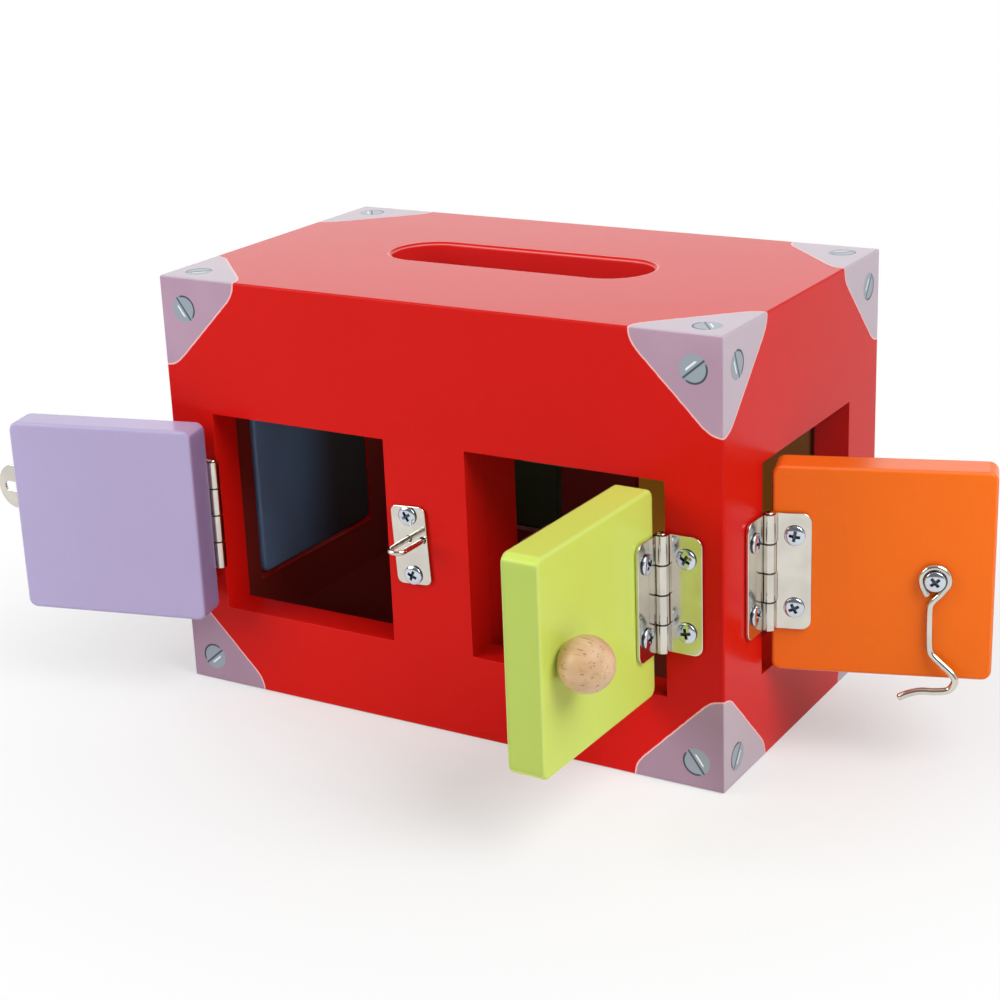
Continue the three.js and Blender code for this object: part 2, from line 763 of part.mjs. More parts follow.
function guide(x0, x1) {
  const outline = new THREE.Shape();
  outline.moveTo(-guideOuter, seatGap);
  outline.lineTo(guideOuter, seatGap);
  outline.lineTo(guideOuter, boltN);
  outline.absarc(0, boltN, guideOuter, 0, Math.PI, false);
  const geometry = new THREE.ExtrudeGeometry(outline, {
    depth: x1 - x0,
    bevelEnabled: false,
    curveSegments: cornerSteps,
  });
  // The outline's x runs along z, its y along n, and it is drawn out along x
  const turn = new THREE.Matrix4().makeBasis(
    new THREE.Vector3(0, 0, -1),
    new THREE.Vector3(0, -1, 0),
    new THREE.Vector3(-1, 0, 0),
  );
  return solid(geometry.applyMatrix4(turn).translate(x1, 0, 0));
}

function boltPlate(x0, x1, screwX) {
  const n1 = seatGap + boltPlateThickness;
  const outline = roundedRectangle(x1 - x0, boltPlateWidth, boltCorner, (x0 + x1) / 2, 0);
  let plate = slab(outline, seatGap, n1, easeSteps);
  for (const x of screwX) {
    for (const turn of [-1, 1]) {
      plate = plate.add(screw(x, turn * boltScrewRow, n1, 'small'));
    }
  }
  return plate;
}

const boltScrewRow = (boltPlateWidth / 2 - smallScrewHead + guideOuter) / 2;

// The bolt's own group carries base and bolt; its keeper stands on the frame across the gap.
function slideBolt(colour, doorway, x, z, upwards, gapWidth) {
  const half = boltPlateLength / 2;
  const screwX = [-half + boltScrewInset + guideLength, half - boltScrewInset - guideLength];
  let base = boltPlate(-half, half, screwX);
  const through = rod(boltRadius + boltClear, -half - overrun, half + overrun, boltN, 0, roundSteps);
  base = base.add(guide(-half + boltEdgeMargin, -half + boltEdgeMargin + guideLength));
  base = base.add(guide(half - boltEdgeMargin - guideLength, half - boltEdgeMargin)).subtract(through);
  const handleX = -boltTravel / 2;
  const tail = -half - boltTravel * tailShare;
  let bar = rod(boltRadius, tail, half, boltN, 0, roundSteps);
  const ballN = boltN + boltPostHeight;
  bar = bar.add(bore(boltPost, handleX, 0, boltN, ballN));
  const ball = new THREE.SphereGeometry(boltBall, smallSteps, smallSteps - easeSteps);
  bar = bar.add(solid(ball.translate(handleX, -ballN, 0)));
  const keeperStart = half + boltEdgeMargin + gapWidth + boltEdgeMargin;
  const keeperEnd = keeperStart + keeperLength;
  const keeperMiddle = (keeperStart + keeperEnd) / 2;
  let keeper = boltPlate(keeperStart, keeperEnd, [keeperMiddle]);
  const guideStart = keeperMiddle - guideLength / 2;
  keeper = keeper.add(guide(guideStart, guideStart + guideLength));
  const keeperHole = [keeperStart - overrun, keeperEnd + overrun];
  keeper = keeper.subtract(rod(boltRadius + boltClear, ...keeperHole, boltN, 0, roundSteps));

  const onDoor = place(new THREE.Group(), x, axisProud, z);
  const onFrame = place(new THREE.Group(), x, axisProud, z);
  if (upwards) {
    onDoor.rotation.y = -Math.PI / 2;
    onFrame.rotation.y = -Math.PI / 2;
  }
  onDoor.add(named(`${colour}_bolt_base`, base, nickel));
  onDoor.add(named(`${colour}_bolt`, bar, nickel));
  onFrame.add(named(`${colour}_bolt_keeper`, keeper, nickel));
  doorway.door.add(onDoor);
  doorway.frame.add(onFrame);
  for (const turn of [-1, 1]) {
    const across = turn * boltScrewRow;
    for (const along of screwX) {
      const hole = upwards ? [x - across, z + along] : [x + along, z + across];
      doorHoles[colour].push(pilot(...hole, face, 'small'));
    }
    const holeX = x + (upwards ? -across : keeperMiddle);
    const holeZ = z + (upwards ? keeperMiddle : across);
    pilots[doorway.side].push(pilot(wallX(doorway, holeX), doorMid + holeZ, 0, 'small'));
  }
}

// How far the bolt's tail stands behind its plate, as a share of its travel
const tailShare = 0.95;

// Turn button
function turnButton(doorway) {
  const x = doorway.width + buttonInset;
  const n0 = face + seatGap;
  const n1 = n0 + buttonThickness;
  const outline = roundedRectangle(buttonWidth, buttonLength, buttonWidth / 2, x, 0);
  const hole = bore(screwShank + holeClear, x, 0, n0 - overrun, n1 + overrun);
  const button = easedSlab(outline, n0, n1, buttonEase).subtract(hole);
  doorway.frame.add(named('turn_button', button, beech));
  const top = n1 + seatGap;
  doorway.frame.add(named('turn_button_screw', turned([
    [0, face - screwLength],
    [screwShank, face - screwLength + 2 * screwShank],
    [screwShank, top],
    [screwHead, top],
    [screwHead, top + screwHeadHeight * rimShare],
    [screwHead * crownShare, top + screwHeadHeight],
    [0, top + screwHeadHeight],
  ], x, 0, smallSteps), nickel));
  pilots.back.push(pilot(wallX(doorway, x), doorMid));
}

// Latches first: they leave the holes that the doors and walls need
staple();
hasp(doorways.purple);
knobAndCatch(doorways.lime);
hookAndEye(doorways.orange);
const boltReach = boltPlateLength / 2 + boltEdgeMargin;
slideBolt('blue', doorways.blue, doorways.blue.doorEnd - boltReach, 0, false, latchSideGap);
const goldBoltX = doorways.gold.doorEnd - goldBoltInset;
slideBolt('gold', doorways.gold, goldBoltX, doorHeight / 2 - boltReach, true, topGap);
turnButton(doorways.green);

for (const [colour, doorway] of Object.entries(doorways)) {
  door(colour, doorway);
  hinge(colour, doorway);
}

const innerDepth = boxDepth - 2 * wall;
const innerLength = boxLength - 2 * wall;
wallPanel('front_panel', 'front', boxLength);
wallPanel('back_panel', 'back', boxLength);
wallPanel('right_end_panel', 'right_end', innerDepth);
wallPanel('left_end_panel', 'left_end', innerDepth);

// Top with its hand slot: the rim is eased above and below
function topPanel() {
  const spare = slotRim + overrun;
  const outline = roundedRectangle(innerLength + 2 * spare, innerDepth + 2 * spare, spare);
  const slot = roundedRectangle(slotLength, slotWidth, slotWidth / 2, slotShiftX, slotShiftY);
  outline.holes.push(slot);
  const geometry = new THREE.ExtrudeGeometry(outline, {
    depth: wall - 2 * slotRim,
    bevelThickness: slotRim,
    bevelSize: slotRim,
    bevelOffset: -slotRim,
    bevelSegments: easeSteps,
    curveSegments: slotSteps,
  });
  const board = solid(geometry.translate(0, 0, boxHeight - wall + slotRim));
  const x = innerLength / 2;
  const y = innerDepth / 2;
  const trimmed = board.intersect(block(-x, x, -y, y, boxHeight - wall - overrun, boxHeight + overrun));
  box.add(named('top_panel', trimmed, redPaint));
}
topPanel();
box.add(named('bottom_panel', block(
  -innerLength / 2,
  innerLength / 2,
  -innerDepth / 2,
  innerDepth / 2,
  0,
  wall,
), redPaint));
const battenFront = boxDepth / 2 - wall;
box.add(named('middle_batten', block(
  stileShift - stileWidth / 2,
  stileShift + stileWidth / 2,
  battenFront - battenDepth,
  battenFront,
  wall,
  boxHeight - wall,
), redPaint));

export default box;
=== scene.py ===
# %% [markdown]
# # A wooden latch box
# The real object is a small painted box with six doors. Each door hangs on a plated butt hinge and is kept
# shut by a latch of its own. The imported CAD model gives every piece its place, and this lesson gives each
# piece the finer shape and the finish that the real one has.

# %% Load the frame
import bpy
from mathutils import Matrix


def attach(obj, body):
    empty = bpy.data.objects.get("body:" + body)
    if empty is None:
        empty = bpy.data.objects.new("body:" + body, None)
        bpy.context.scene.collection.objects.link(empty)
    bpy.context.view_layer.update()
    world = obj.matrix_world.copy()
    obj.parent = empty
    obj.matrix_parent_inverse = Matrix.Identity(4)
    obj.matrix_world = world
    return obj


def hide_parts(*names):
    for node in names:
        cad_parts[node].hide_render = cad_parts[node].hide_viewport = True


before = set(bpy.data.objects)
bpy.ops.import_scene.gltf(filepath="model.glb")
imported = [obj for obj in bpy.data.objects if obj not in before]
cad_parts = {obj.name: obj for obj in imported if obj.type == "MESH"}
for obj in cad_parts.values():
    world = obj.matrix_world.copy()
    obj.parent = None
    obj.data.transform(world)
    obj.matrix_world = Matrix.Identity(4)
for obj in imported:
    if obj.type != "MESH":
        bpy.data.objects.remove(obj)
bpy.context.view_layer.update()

# %% [markdown]
# Everything below is measured in millimetres, as a joiner would, and turned into metres in one place. The
# main sizes of the box have names, because its shapes and its painted pattern both follow them. Each hinge
# line stands HINGE_OUT in front of its wall, DOOR_CENTRE from the door's middle and DOOR_MIDDLE above ground.

# %% Units and sizes
import math
import bmesh
import bpy
from mathutils import Matrix, Vector

MM = 0.001
WIDTH, DEPTH, HEIGHT = 270, 160, 190
BOARD = 16
DOOR = 88
HINGE_OUT = 3.05
DOOR_CENTRE = 44.6
DOOR_MIDDLE = 83.75


def spot(x, y, z=0, turn=0):
    return Matrix.Translation((x * MM, y * MM, z * MM)) @ Matrix.Rotation(math.radians(turn), 4, "Z")


print("the box is", WIDTH, "by", DEPTH, "by", HEIGHT, "mm, and a door", DOOR, "mm square")

# %% [markdown]
# ## Camera
# The photograph was taken with a long lens from the front right, a little above the box. The same place,
# direction and lens make the render and the photograph comparable corner by corner. Aiming the camera by
# eye is quicker, but then no edge quite lines up.

# %% Camera
view = bpy.data.objects.new("photograph_view", bpy.data.cameras.new("photograph_view"))
bpy.context.scene.collection.objects.link(view)
azimuth, elevation, roll = (math.radians(angle) for angle in (31.49, 19.26, -2.29))
camera_place = (0.4553, -0.7665, 0.3922)
ahead = Vector((
    -math.sin(azimuth) * math.cos(elevation),
    math.cos(azimuth) * math.cos(elevation),
    -math.sin(elevation),
))
across = ahead.cross(Vector((0, 0, 1))).normalized()
up = across.cross(ahead)
turned_across = across * math.cos(roll) + up * math.sin(roll)
turned_up = up * math.cos(roll) - across * math.sin(roll)
pose = Matrix((turned_across, turned_up, -ahead)).transposed().to_4x4()
view.matrix_world = Matrix.Translation(camera_place) @ pose
view.data.sensor_width = 36
view.data.lens = 75.17
view.data.clip_start = 0.01
bpy.context.scene.camera = view
print("camera at", camera_place)

# %% [markdown]
# ## Light
# The photograph has the even light of a white studio. The world is white for the camera. Metal and paint
# also reflect it, white behind the box and dimmer behind the camera, where a studio is dark. For everything
# else it is only a soft fill, so a colour renders about as it is written.

# %% World
scene = bpy.context.scene
scene.view_settings.view_transform = "Standard"
scene.world = bpy.data.worlds.new("white_studio")
scene.world.use_nodes = True
sky = scene.world.node_tree
sky.nodes.clear()
path = sky.nodes.new("ShaderNodeLightPath").outputs


def world_math(operation, one, other):
    node = sky.nodes.new("ShaderNodeMath")
    node.operation = operation
    for value, socket in zip((one, other), node.inputs):
        if isinstance(value, bpy.types.NodeSocket):
            sky.links.new(value, socket)
        else:
            socket.default_value = value
    return node.outputs[0]


towards = sky.nodes.new("ShaderNodeSeparateXYZ")
sky.links.new(sky.nodes.new("ShaderNodeTexCoord").outputs["Generated"], towards.inputs[0])
room = sky.nodes.new("ShaderNodeMapRange")
for name, value in (("From Min", -0.8), ("From Max", 0.4), ("To Min", 0.16), ("To Max", 0.95)):
    room.inputs[name].default_value = value
sky.links.new(towards.outputs["Y"], room.inputs["Value"])
mirrored = world_math("MAXIMUM", path["Is Glossy Ray"], path["Is Transmission Ray"])
mirrored = world_math("MULTIPLY", mirrored, room.outputs["Result"])
soft_fill = 0.2
strength = world_math("MAXIMUM", world_math("MAXIMUM", path["Is Camera Ray"], mirrored), soft_fill)
white = sky.nodes.new("ShaderNodeBackground")
white.inputs["Color"].default_value = (1, 1, 1, 1)
sky.links.new(strength, white.inputs["Strength"])
end = sky.nodes.new("ShaderNodeOutputWorld")
sky.links.new(white.outputs[0], end.inputs["Surface"])
print("world:", scene.world.name, "with a fill of", soft_fill)

# %% [markdown]
# Front, right end and top are almost equally bright in the photograph, while the inside is dark. One wide
# lamp stands low on the left and one high on the right, so neither looks through a doorway at what the
# camera sees there. A weak one behind the box is there for the sheen that the top shows. All of them point
# at the middle of the box.

# %% Lamps
box_middle = Vector((0, 0, 0.09))


def lamp(name, place, size, power):
    light = bpy.data.lights.new(name, "AREA")
    light.shape = "DISK"
    light.size = size
    light.energy = power
    stand = bpy.data.objects.new(name, light)
    scene.collection.objects.link(stand)
    stand.location = place
    stand.rotation_euler = (box_middle - Vector(place)).to_track_quat("-Z", "Y").to_euler()


lamps = (
    ("left", (-1.28, -1.28, 0.94), 1.4, 26),
    ("right", (1.5, -0.4, 1.65), 1.6, 38),
    ("back", (-1.05, 1.72, 0.9), 1.7, 4.6),
)
for name, place, size, power in lamps:
    lamp(name, place, size, power)
    print("lamp", name, power, "watts")

# %% [markdown]
# ## Floor
# The box stands on plain white paper, which keeps the light shadow under it. Away from the box the paper
# fades into the white background, but only where the camera or a mirror looks at it: for the light it
# stays paper everywhere. It lies a hair below the box, so that the two don't flicker into each other.

# %% Floor
floor_mesh = bpy.data.meshes.new("floor")
reach = 9
floor_mesh.from_pydata(
    [(-reach, -reach, 0), (reach, -reach, 0), (reach, reach, 0), (-reach, reach, 0)], [], [(0, 1, 2, 3)]
)
floor = bpy.data.objects.new("floor", floor_mesh)
scene.collection.objects.link(floor)
floor.location.z = -0.3 * MM
print("floor is", 2 * reach, "metres wide")

# %% White paper
paper = bpy.data.materials.new("white_paper")
paper.use_nodes = True
tree = paper.node_tree
tree.nodes.clear()
path = tree.nodes.new("ShaderNodeLightPath").outputs
lookers = tree.nodes.new("ShaderNodeMath")
lookers.operation = "MAXIMUM"
tree.links.new(path["Is Camera Ray"], lookers.inputs[0])
tree.links.new(path["Is Glossy Ray"], lookers.inputs[1])
away = tree.nodes.new("ShaderNodeVectorMath")
away.operation = "LENGTH"
tree.links.new(tree.nodes.new("ShaderNodeTexCoord").outputs["Object"], away.inputs[0])
fade = tree.nodes.new("ShaderNodeMapRange")
fade.interpolation_type = "SMOOTHSTEP"
for name, value in (("From Min", 0.1), ("From Max", 0.36), ("To Min", 0.4), ("To Max", 1)):
    fade.inputs[name].default_value = value
tree.links.new(away.outputs["Value"], fade.inputs["Value"])
share = tree.nodes.new("ShaderNodeMath")
share.operation = "MULTIPLY"
tree.links.new(lookers.outputs[0], share.inputs[0])
tree.links.new(fade.outputs["Result"], share.inputs[1])
matt = tree.nodes.new("ShaderNodeBsdfDiffuse")
matt.inputs["Color"].default_value = (0.82, 0.82, 0.82, 1)
bright = tree.nodes.new("ShaderNodeEmission")
both = tree.nodes.new("ShaderNodeMixShader")
tree.links.new(share.outputs[0], both.inputs[0])
tree.links.new(matt.outputs[0], both.inputs[1])
tree.links.new(bright.outputs[0], both.inputs[2])
end = tree.nodes.new("ShaderNodeOutputMaterial")
tree.links.new(both.outputs[0], end.inputs["Surface"])
floor.data.materials.append(paper)
print("floor is covered with", paper.name)

# %% [markdown]
# ## A way to write finishes
# Paint is described by the colour a screen shows, from 0 to 255. Blender wants it in straight light values.

# %% Colours
def shade(red, green, blue):
    def straight(value):
        share = value / 255
        return share / 12.92 if share <= 0.04045 else ((share + 0.055) / 1.055) ** 2.4
    return (straight(red), straight(green), straight(blue), 1)


print("middle grey is", round(shade(128, 128, 128)[0], 3))

# %% [markdown]
# Each finish is a handful of nodes. Wiring them by mouse is pleasant, but in a script a small helper that
# adds a node and plugs in its inputs keeps each recipe readable.

# %% Finish helper
class Finish:
    def __init__(self, name, specular=0.5):
        self.material = bpy.data.materials.new(name)
        self.material.use_nodes = True
        self.tree = self.material.node_tree
        self.shader = self.tree.nodes["Principled BSDF"]
        self.shader.inputs["Specular IOR Level"].default_value = specular
        self.place = self.add("ShaderNodeTexCoord").outputs["Object"]

    def add(self, kind, inputs=None, **settings):
        node = self.tree.nodes.new(kind)
        for key, value in settings.items():
            setattr(node, key, value)
        for key, value in (inputs or {}).items():
            self.plug(value, node.inputs[key])
        return node

    def plug(self, value, socket):
        if isinstance(value, bpy.types.NodeSocket):
            self.tree.links.new(value, socket)
        else:
            socket.default_value = value

    def calc(self, operation, *values):
        node = self.add("ShaderNodeMath", operation=operation)
        for value, socket in zip(values, node.inputs):
            self.plug(value, socket)
        return node.outputs[0]

    def ramp(self, value, low, high, to_low=0.0, to_high=1.0):
        node = self.add("ShaderNodeMapRange", {
            "Value": value, "From Min": low, "From Max": high, "To Min": to_low, "To Max": to_high,
        }, interpolation_type="SMOOTHSTEP")
        return node.outputs["Result"]

    def mix(self, share, one, other, blend="MIX"):
        node = self.add("ShaderNodeMix", data_type="RGBA", blend_type=blend)
        self.plug(share, node.inputs["Factor"])
        self.plug(one, node.inputs[6])
        self.plug(other, node.inputs[7])
        return node.outputs[2]

    def noise(self, stretch, detail=3.0, roughness=0.55):
        spread = self.add("ShaderNodeMapping", {"Vector": self.place, "Scale": stretch})
        return self.add("ShaderNodeTexNoise", {
            "Vector": spread.outputs[0], "Scale": 1.0, "Detail": detail, "Roughness": roughness,
        }).outputs["Fac"]

    def bump(self, height, depth, under=None):
        node = self.add("ShaderNodeBump", {"Height": height, "Strength": 1.0, "Distance": depth})
        if under is not None:
            self.plug(under, node.inputs["Normal"])
        return node.outputs[0]

    def wear(self, colour, roughness, normal):
        for name, value in (("Base Color", colour), ("Roughness", roughness), ("Normal", normal)):
            self.plug(value, self.shader.inputs[name])
        return self.material


print("every finish is made by", Finish.__name__)

# %% [markdown]
# ## Painted wood
# The boards are painted with two coats of satin enamel. Up close the film has soft brush lines, a slight
# orange peel between them, and patches where it is a touch thicker. Where an edge is eased the film is
# painted a little paler, for thinner paint and a painted highlight. Noise stretched along the brush does the
# first and round noise the others.
# For the last, the distances from the board's sides are compared: where the second smallest is small too,
# there is an edge. The film reflects less than varnish does, so its colour stays strong seen square on.
#
# The inner faces are painted darker, a painted shade for the dark inside of the box, and most of all near the
# hinges.
# The narrow face beside the hinge is painted darker too, a painted shade, and that at the free end a little.

# %% Enamel
UPRIGHT_STROKE, LONG_STROKE = (1100, 1100, 34), (34, 1100, 1100)


def painted(finish, colour, stroke, seed):
    brush = finish.noise([value + seed for value in stroke])
    peel = finish.noise((330, 330 + seed, 330), 2.0)
    patch = finish.noise((19, 19, 19 + seed), 2.0)
    tone = finish.calc("MULTIPLY_ADD", brush, 0.03, finish.ramp(patch, 0.3, 0.7, 0.965, 0.985))
    grey = finish.add("ShaderNodeCombineColor", {"Red": tone, "Green": tone, "Blue": tone}).outputs[0]
    normal = finish.bump(peel, 0.0014 * MM, finish.bump(brush, 0.0006 * MM))
    return peel, patch, finish.mix(1.0, colour, grey, "MULTIPLY"), normal


def enamel(name, colour, seed, hand, inner_shading):
    finish = Finish(name, 0.18)
    peel, patch, film, normal = painted(finish, colour, UPRIGHT_STROKE, seed)
    parts = finish.add("ShaderNodeSeparateXYZ", {"Vector": finish.place}).outputs
    inside = []
    door_sides = (
        ("X", hand * DOOR_CENTRE, DOOR / 2), ("Y", HINGE_OUT + BOARD / 2, BOARD / 2), ("Z", 0, DOOR / 2),
    )
    for axis, middle, half in door_sides:
        away = finish.calc("ABSOLUTE", finish.calc("SUBTRACT", parts[axis], middle * MM))
        inside.append(finish.calc("SUBTRACT", half * MM, away))
    nearest = finish.calc("MINIMUM", inside[0], inside[1])
    farther = finish.calc("MAXIMUM", inside[0], inside[1])
    second = finish.calc("MAXIMUM", nearest, finish.calc("MINIMUM", farther, inside[2]))
    # Eased edges are painted paler: thinner paint and a painted highlight.
    edge_highlight = finish.ramp(second, 0.3 * MM, 1.3 * MM, 0.07, 0)
    film = finish.mix(edge_highlight, film, (1, 1, 1, 1))
    across_door = finish.calc("ABSOLUTE", parts["X"])
    # The narrow face beside the hinge is painted darker, a painted shade, and the free end a little too.
    hinge_edge_shade = finish.ramp(across_door, 0.8 * MM, 1.5 * MM, 0.95, 0)
    film = finish.mix(hinge_edge_shade, film, shade(204, 186, 204), "MULTIPLY")
    free_edge_shade = finish.ramp(across_door, DOOR * MM, (DOOR + 0.5) * MM)
    film = finish.mix(free_edge_shade, film, shade(229, 233, 245), "MULTIPLY")
    # Inner faces are painted darker towards the hinge: a painted shade for the dark inside of the box.
    shade_by_hinge = finish.ramp(across_door, 25 * MM, 90 * MM, *inner_shading)
    bare = finish.calc("MULTIPLY", finish.ramp(parts["Y"], 16.5 * MM, 18.5 * MM), shade_by_hinge)
    film = finish.mix(bare, film, shade(52, 44, 38))
    return finish.wear(film, finish.ramp(peel, 0.3, 0.7, 0.235, 0.25), normal)


print("a film of paint is made by", painted.__name__, "and", enamel.__name__)

# %% [markdown]
# ## Nickel plate and zinc
# Hinges, hasp and hook are bright nickel: a warm mirror with faint wipe marks. The screws are zinc, which
# is bluer and a little brighter. Both are full metals whose roughness wanders slightly. The cross recess of
# a screw holds shadow and a trace of dirt, so its metal is dark. The catch's strike is blued steel.

# %% Metals
def plated(name, colour, rough, grain):
    finish = Finish(name)
    wipe = finish.noise(grain)
    cloud = finish.noise((60, 60, 60), 2.0)
    darker = tuple(value * 0.88 for value in colour[:3]) + (1,)
    tone = finish.mix(finish.ramp(cloud, 0.35, 0.65), colour, darker)
    finish.shader.inputs["Metallic"].default_value = 1
    dulled = finish.ramp(wipe, 0.3, 0.7, rough, rough + 0.07)
    return finish.wear(tone, dulled, finish.bump(wipe, 0.002 * MM))


nickel = plated("nickel_plate", shade(218, 213, 203), 0.1, (2600, 2600, 180))
zinc = plated("zinc_plate", shade(212, 220, 230), 0.07, (420, 420, 420))
recess = plated("zinc_recess", shade(84, 90, 100), 0.3, (900, 900, 900))
blued = plated("blued_steel", shade(58, 52, 54), 0.35, (2600, 2600, 180))
print("metals:", nickel.name, zinc.name, recess.name, blued.name)

# %% [markdown]
# ## Bare beech, plastic and ferrite
# The ball knob and the turn button are bare beech, turned from a dowel. Its marks are short dark pores and
# flecks that run with the grain, over faint rings. The catch is moulded in brown plastic round a gritty
# grey magnet.

# %% Beech, plastic, ferrite
def beech_wood(name, along):
    finish = Finish(name)
    fine = [900.0, 900.0, 900.0]
    long = [110.0, 110.0, 110.0]
    fine[along] = 90.0
    long[along] = 14.0
    fibre = finish.noise(fine, 4.0, 0.6)
    rings = finish.noise(long, 3.0, 0.5)
    pale = finish.mix(finish.ramp(rings, 0.35, 0.65), shade(222, 186, 148), shade(203, 164, 122))
    wood = finish.mix(finish.ramp(fibre, 0.56, 0.7, 0, 0.55), pale, shade(166, 120, 80))
    spread = finish.add("ShaderNodeMapping", {
        "Vector": finish.place, "Scale": [value * 0.75 for value in fine],
    })
    pores = finish.add("ShaderNodeTexVoronoi", {
        "Vector": spread.outputs[0], "Scale": 1.0,
    }, feature="F1").outputs["Distance"]
    flecks = finish.ramp(pores, 0.1, 0.24, 0.7, 0)
    wood = finish.mix(flecks, wood, shade(112, 78, 52))
    return finish.wear(wood, finish.ramp(fibre, 0.3, 0.7, 0.36, 0.5), finish.bump(fibre, 0.03 * MM))


def moulded(name, colour, rough, grit):
    finish = Finish(name)
    skin = finish.noise((grit, grit, grit), 3.0)
    darker = tuple(value * 0.8 for value in colour[:3]) + (1,)
    tone = finish.mix(finish.ramp(skin, 0.3, 0.7, 0, 0.35), colour, darker)
    dulled = finish.ramp(skin, 0.3, 0.7, rough, rough + 0.12)
    return finish.wear(tone, dulled, finish.bump(skin, 0.02 * MM))


beech = beech_wood("bare_beech", 1)
beech_long = beech_wood("bare_beech_long", 2)
plastic = moulded("catch_plastic_skin", shade(86, 54, 40), 0.4, 900)
ferrite = moulded("ferrite_skin", shade(62, 62, 66), 0.55, 1800)
print("woods and plastics:", beech.name, plastic.name, ferrite.name)

# %% [markdown]
# ## Red enamel with painted corner guards
# The box is red all over. On each of its eight corners a lavender corner guard is painted, like the brass
# corners of a travel chest. Each reaches about 40 mm along the edges and is cut across at 45 degrees, and
# its ends curve in. Because it wraps over three faces, one rule in all three directions draws it: the sum
# of the distances from the corner, and a cap on each of them. A pale line shows where the two paints meet.
# Inside the box, the depth below the outer faces is painted dark red: a painted shade for the dark inside.
# Only the batten, which shows in the doorway, is left without it. Low down the guards are painted darker,
# a painted shade, and on the top and the ends paler, a painted sheen.
#
# The walls of the hand slot are painted a lighter red, a painted light. Where its rim begins, and a
# millimetre down it, a pale line is painted, a painted highlight.
#
# A slotted screw is painted on each face of a guard: a grey disc, a dark slot with a pale line beside it,
# and a dark rim on the far side. Distances from a disc's middle are measured outwards on every corner, so
# that the corners mirror each other, and the product of two signs turns light and shadow back again.

# %% Painted screws
SKIN = 0.4


def painted_screws(finish, film, parts, from_side, from_end, outside):
    middle = finish.calc("SUBTRACT", parts["Z"], HEIGHT / 2 * MM)
    signs, outs = {}, {}
    disc_middles = (("X", parts["X"], 122.6), ("Y", parts["Y"], 67.6), ("Z", middle, 82.2))
    for name, place, centre in disc_middles:
        signs[name] = finish.calc("SIGN", place)
        lower = finish.calc("ADD", place, 1.2 * MM) if name == "Z" else place
        outs[name] = finish.calc("SUBTRACT", finish.calc("ABSOLUTE", lower), centre * MM)
    on_end_wall = finish.calc("LESS_THAN", from_side, SKIN * MM)
    on_top = finish.calc("MULTIPLY", finish.calc("LESS_THAN", from_end, SKIN * MM),
                         finish.calc("SUBTRACT", 1, on_end_wall))

    def chosen(switch, values, off, on):
        change = finish.calc("SUBTRACT", values[on], values[off])
        return finish.calc("MULTIPLY_ADD", switch, change, values[off])

    level, level_sign = (chosen(on_end_wall, values, "X", "Y") for values in (outs, signs))
    rise, rise_sign = (chosen(on_top, values, "Z", "Y") for values in (outs, signs))
    span = finish.add("ShaderNodeCombineXYZ", {"X": level, "Y": rise}).outputs[0]
    radius = finish.add("ShaderNodeVectorMath", {0: span}, operation="LENGTH").outputs["Value"]
    turn = finish.calc("MULTIPLY", level_sign, rise_sign)
    lean = finish.calc("MULTIPLY_ADD", turn, math.radians(-7), math.radians(47))
    angle = finish.calc("MULTIPLY_ADD", on_end_wall, math.radians(14), lean)
    across_slot = finish.calc("SUBTRACT", finish.calc("MULTIPLY", level, finish.calc("SINE", angle)),
                              finish.calc("MULTIPLY", rise, finish.calc("COSINE", angle)))
    lit = finish.calc("MULTIPLY", across_slot, turn)
    disc = finish.calc("MULTIPLY", outside, finish.ramp(radius, 5.9 * MM, 6.15 * MM, 1, 0))
    slot = finish.ramp(finish.calc("ABSOLUTE", across_slot), 0.3 * MM, 0.55 * MM, 1, 0)
    beside_slot = finish.calc("ABSOLUTE", finish.calc("ADD", lit, 1.8 * MM))
    line = finish.ramp(beside_slot, 0.25 * MM, 0.55 * MM, 1, 0)
    line = finish.calc("MULTIPLY", line, finish.ramp(radius, 3 * MM, 3.8 * MM, 1, 0))
    rim = finish.ramp(radius, 5 * MM, 5.4 * MM)
    rim = finish.calc("MULTIPLY", rim, finish.ramp(lit, 0.5 * MM, 2.5 * MM))
    strokes = (
        (1, shade(152, 162, 172)), (slot, shade(78, 86, 98)),
        (line, shade(232, 240, 246)), (rim, shade(70, 76, 90)),
    )
    for share, colour in strokes:
        film = finish.mix(finish.calc("MULTIPLY", share, disc), film, colour)
    return film


print("painted screws reach", SKIN, "mm round an edge")

# %% Paint in the hand slot
def slot_light_and_highlight(finish, film, parts):
    below = finish.calc("SUBTRACT", HEIGHT * MM, parts["Z"])
    near_middle = [
        finish.calc("LESS_THAN", finish.calc("ABSOLUTE", parts[axis]), half * MM)
        for axis, half in (("X", 70), ("Y", 30))
    ]
    at_slot = finish.calc("MULTIPLY", *near_middle)
    # The slot walls get a lighter red, a painted light, and two lines along the rim a pale red, a painted
    # highlight.
    slot_wall_light = finish.calc("MULTIPLY", at_slot, finish.calc("COMPARE", below, 8 * MM, 7.4 * MM))
    film = finish.mix(slot_wall_light, film, shade(222, 36, 35))
    for centre, reach, share in ((0.09, 0.09, 0.5), (1.1, 0.35, 0.45)):
        off = finish.calc("ABSOLUTE", finish.calc("SUBTRACT", below, centre * MM))
        line = finish.ramp(off, 0.3 * reach * MM, reach * MM, share, 0)
        film = finish.mix(finish.calc("MULTIPLY", at_slot, line), film, shade(255, 176, 170))
    return film


print("the hand slot gets its", slot_light_and_highlight.__name__)

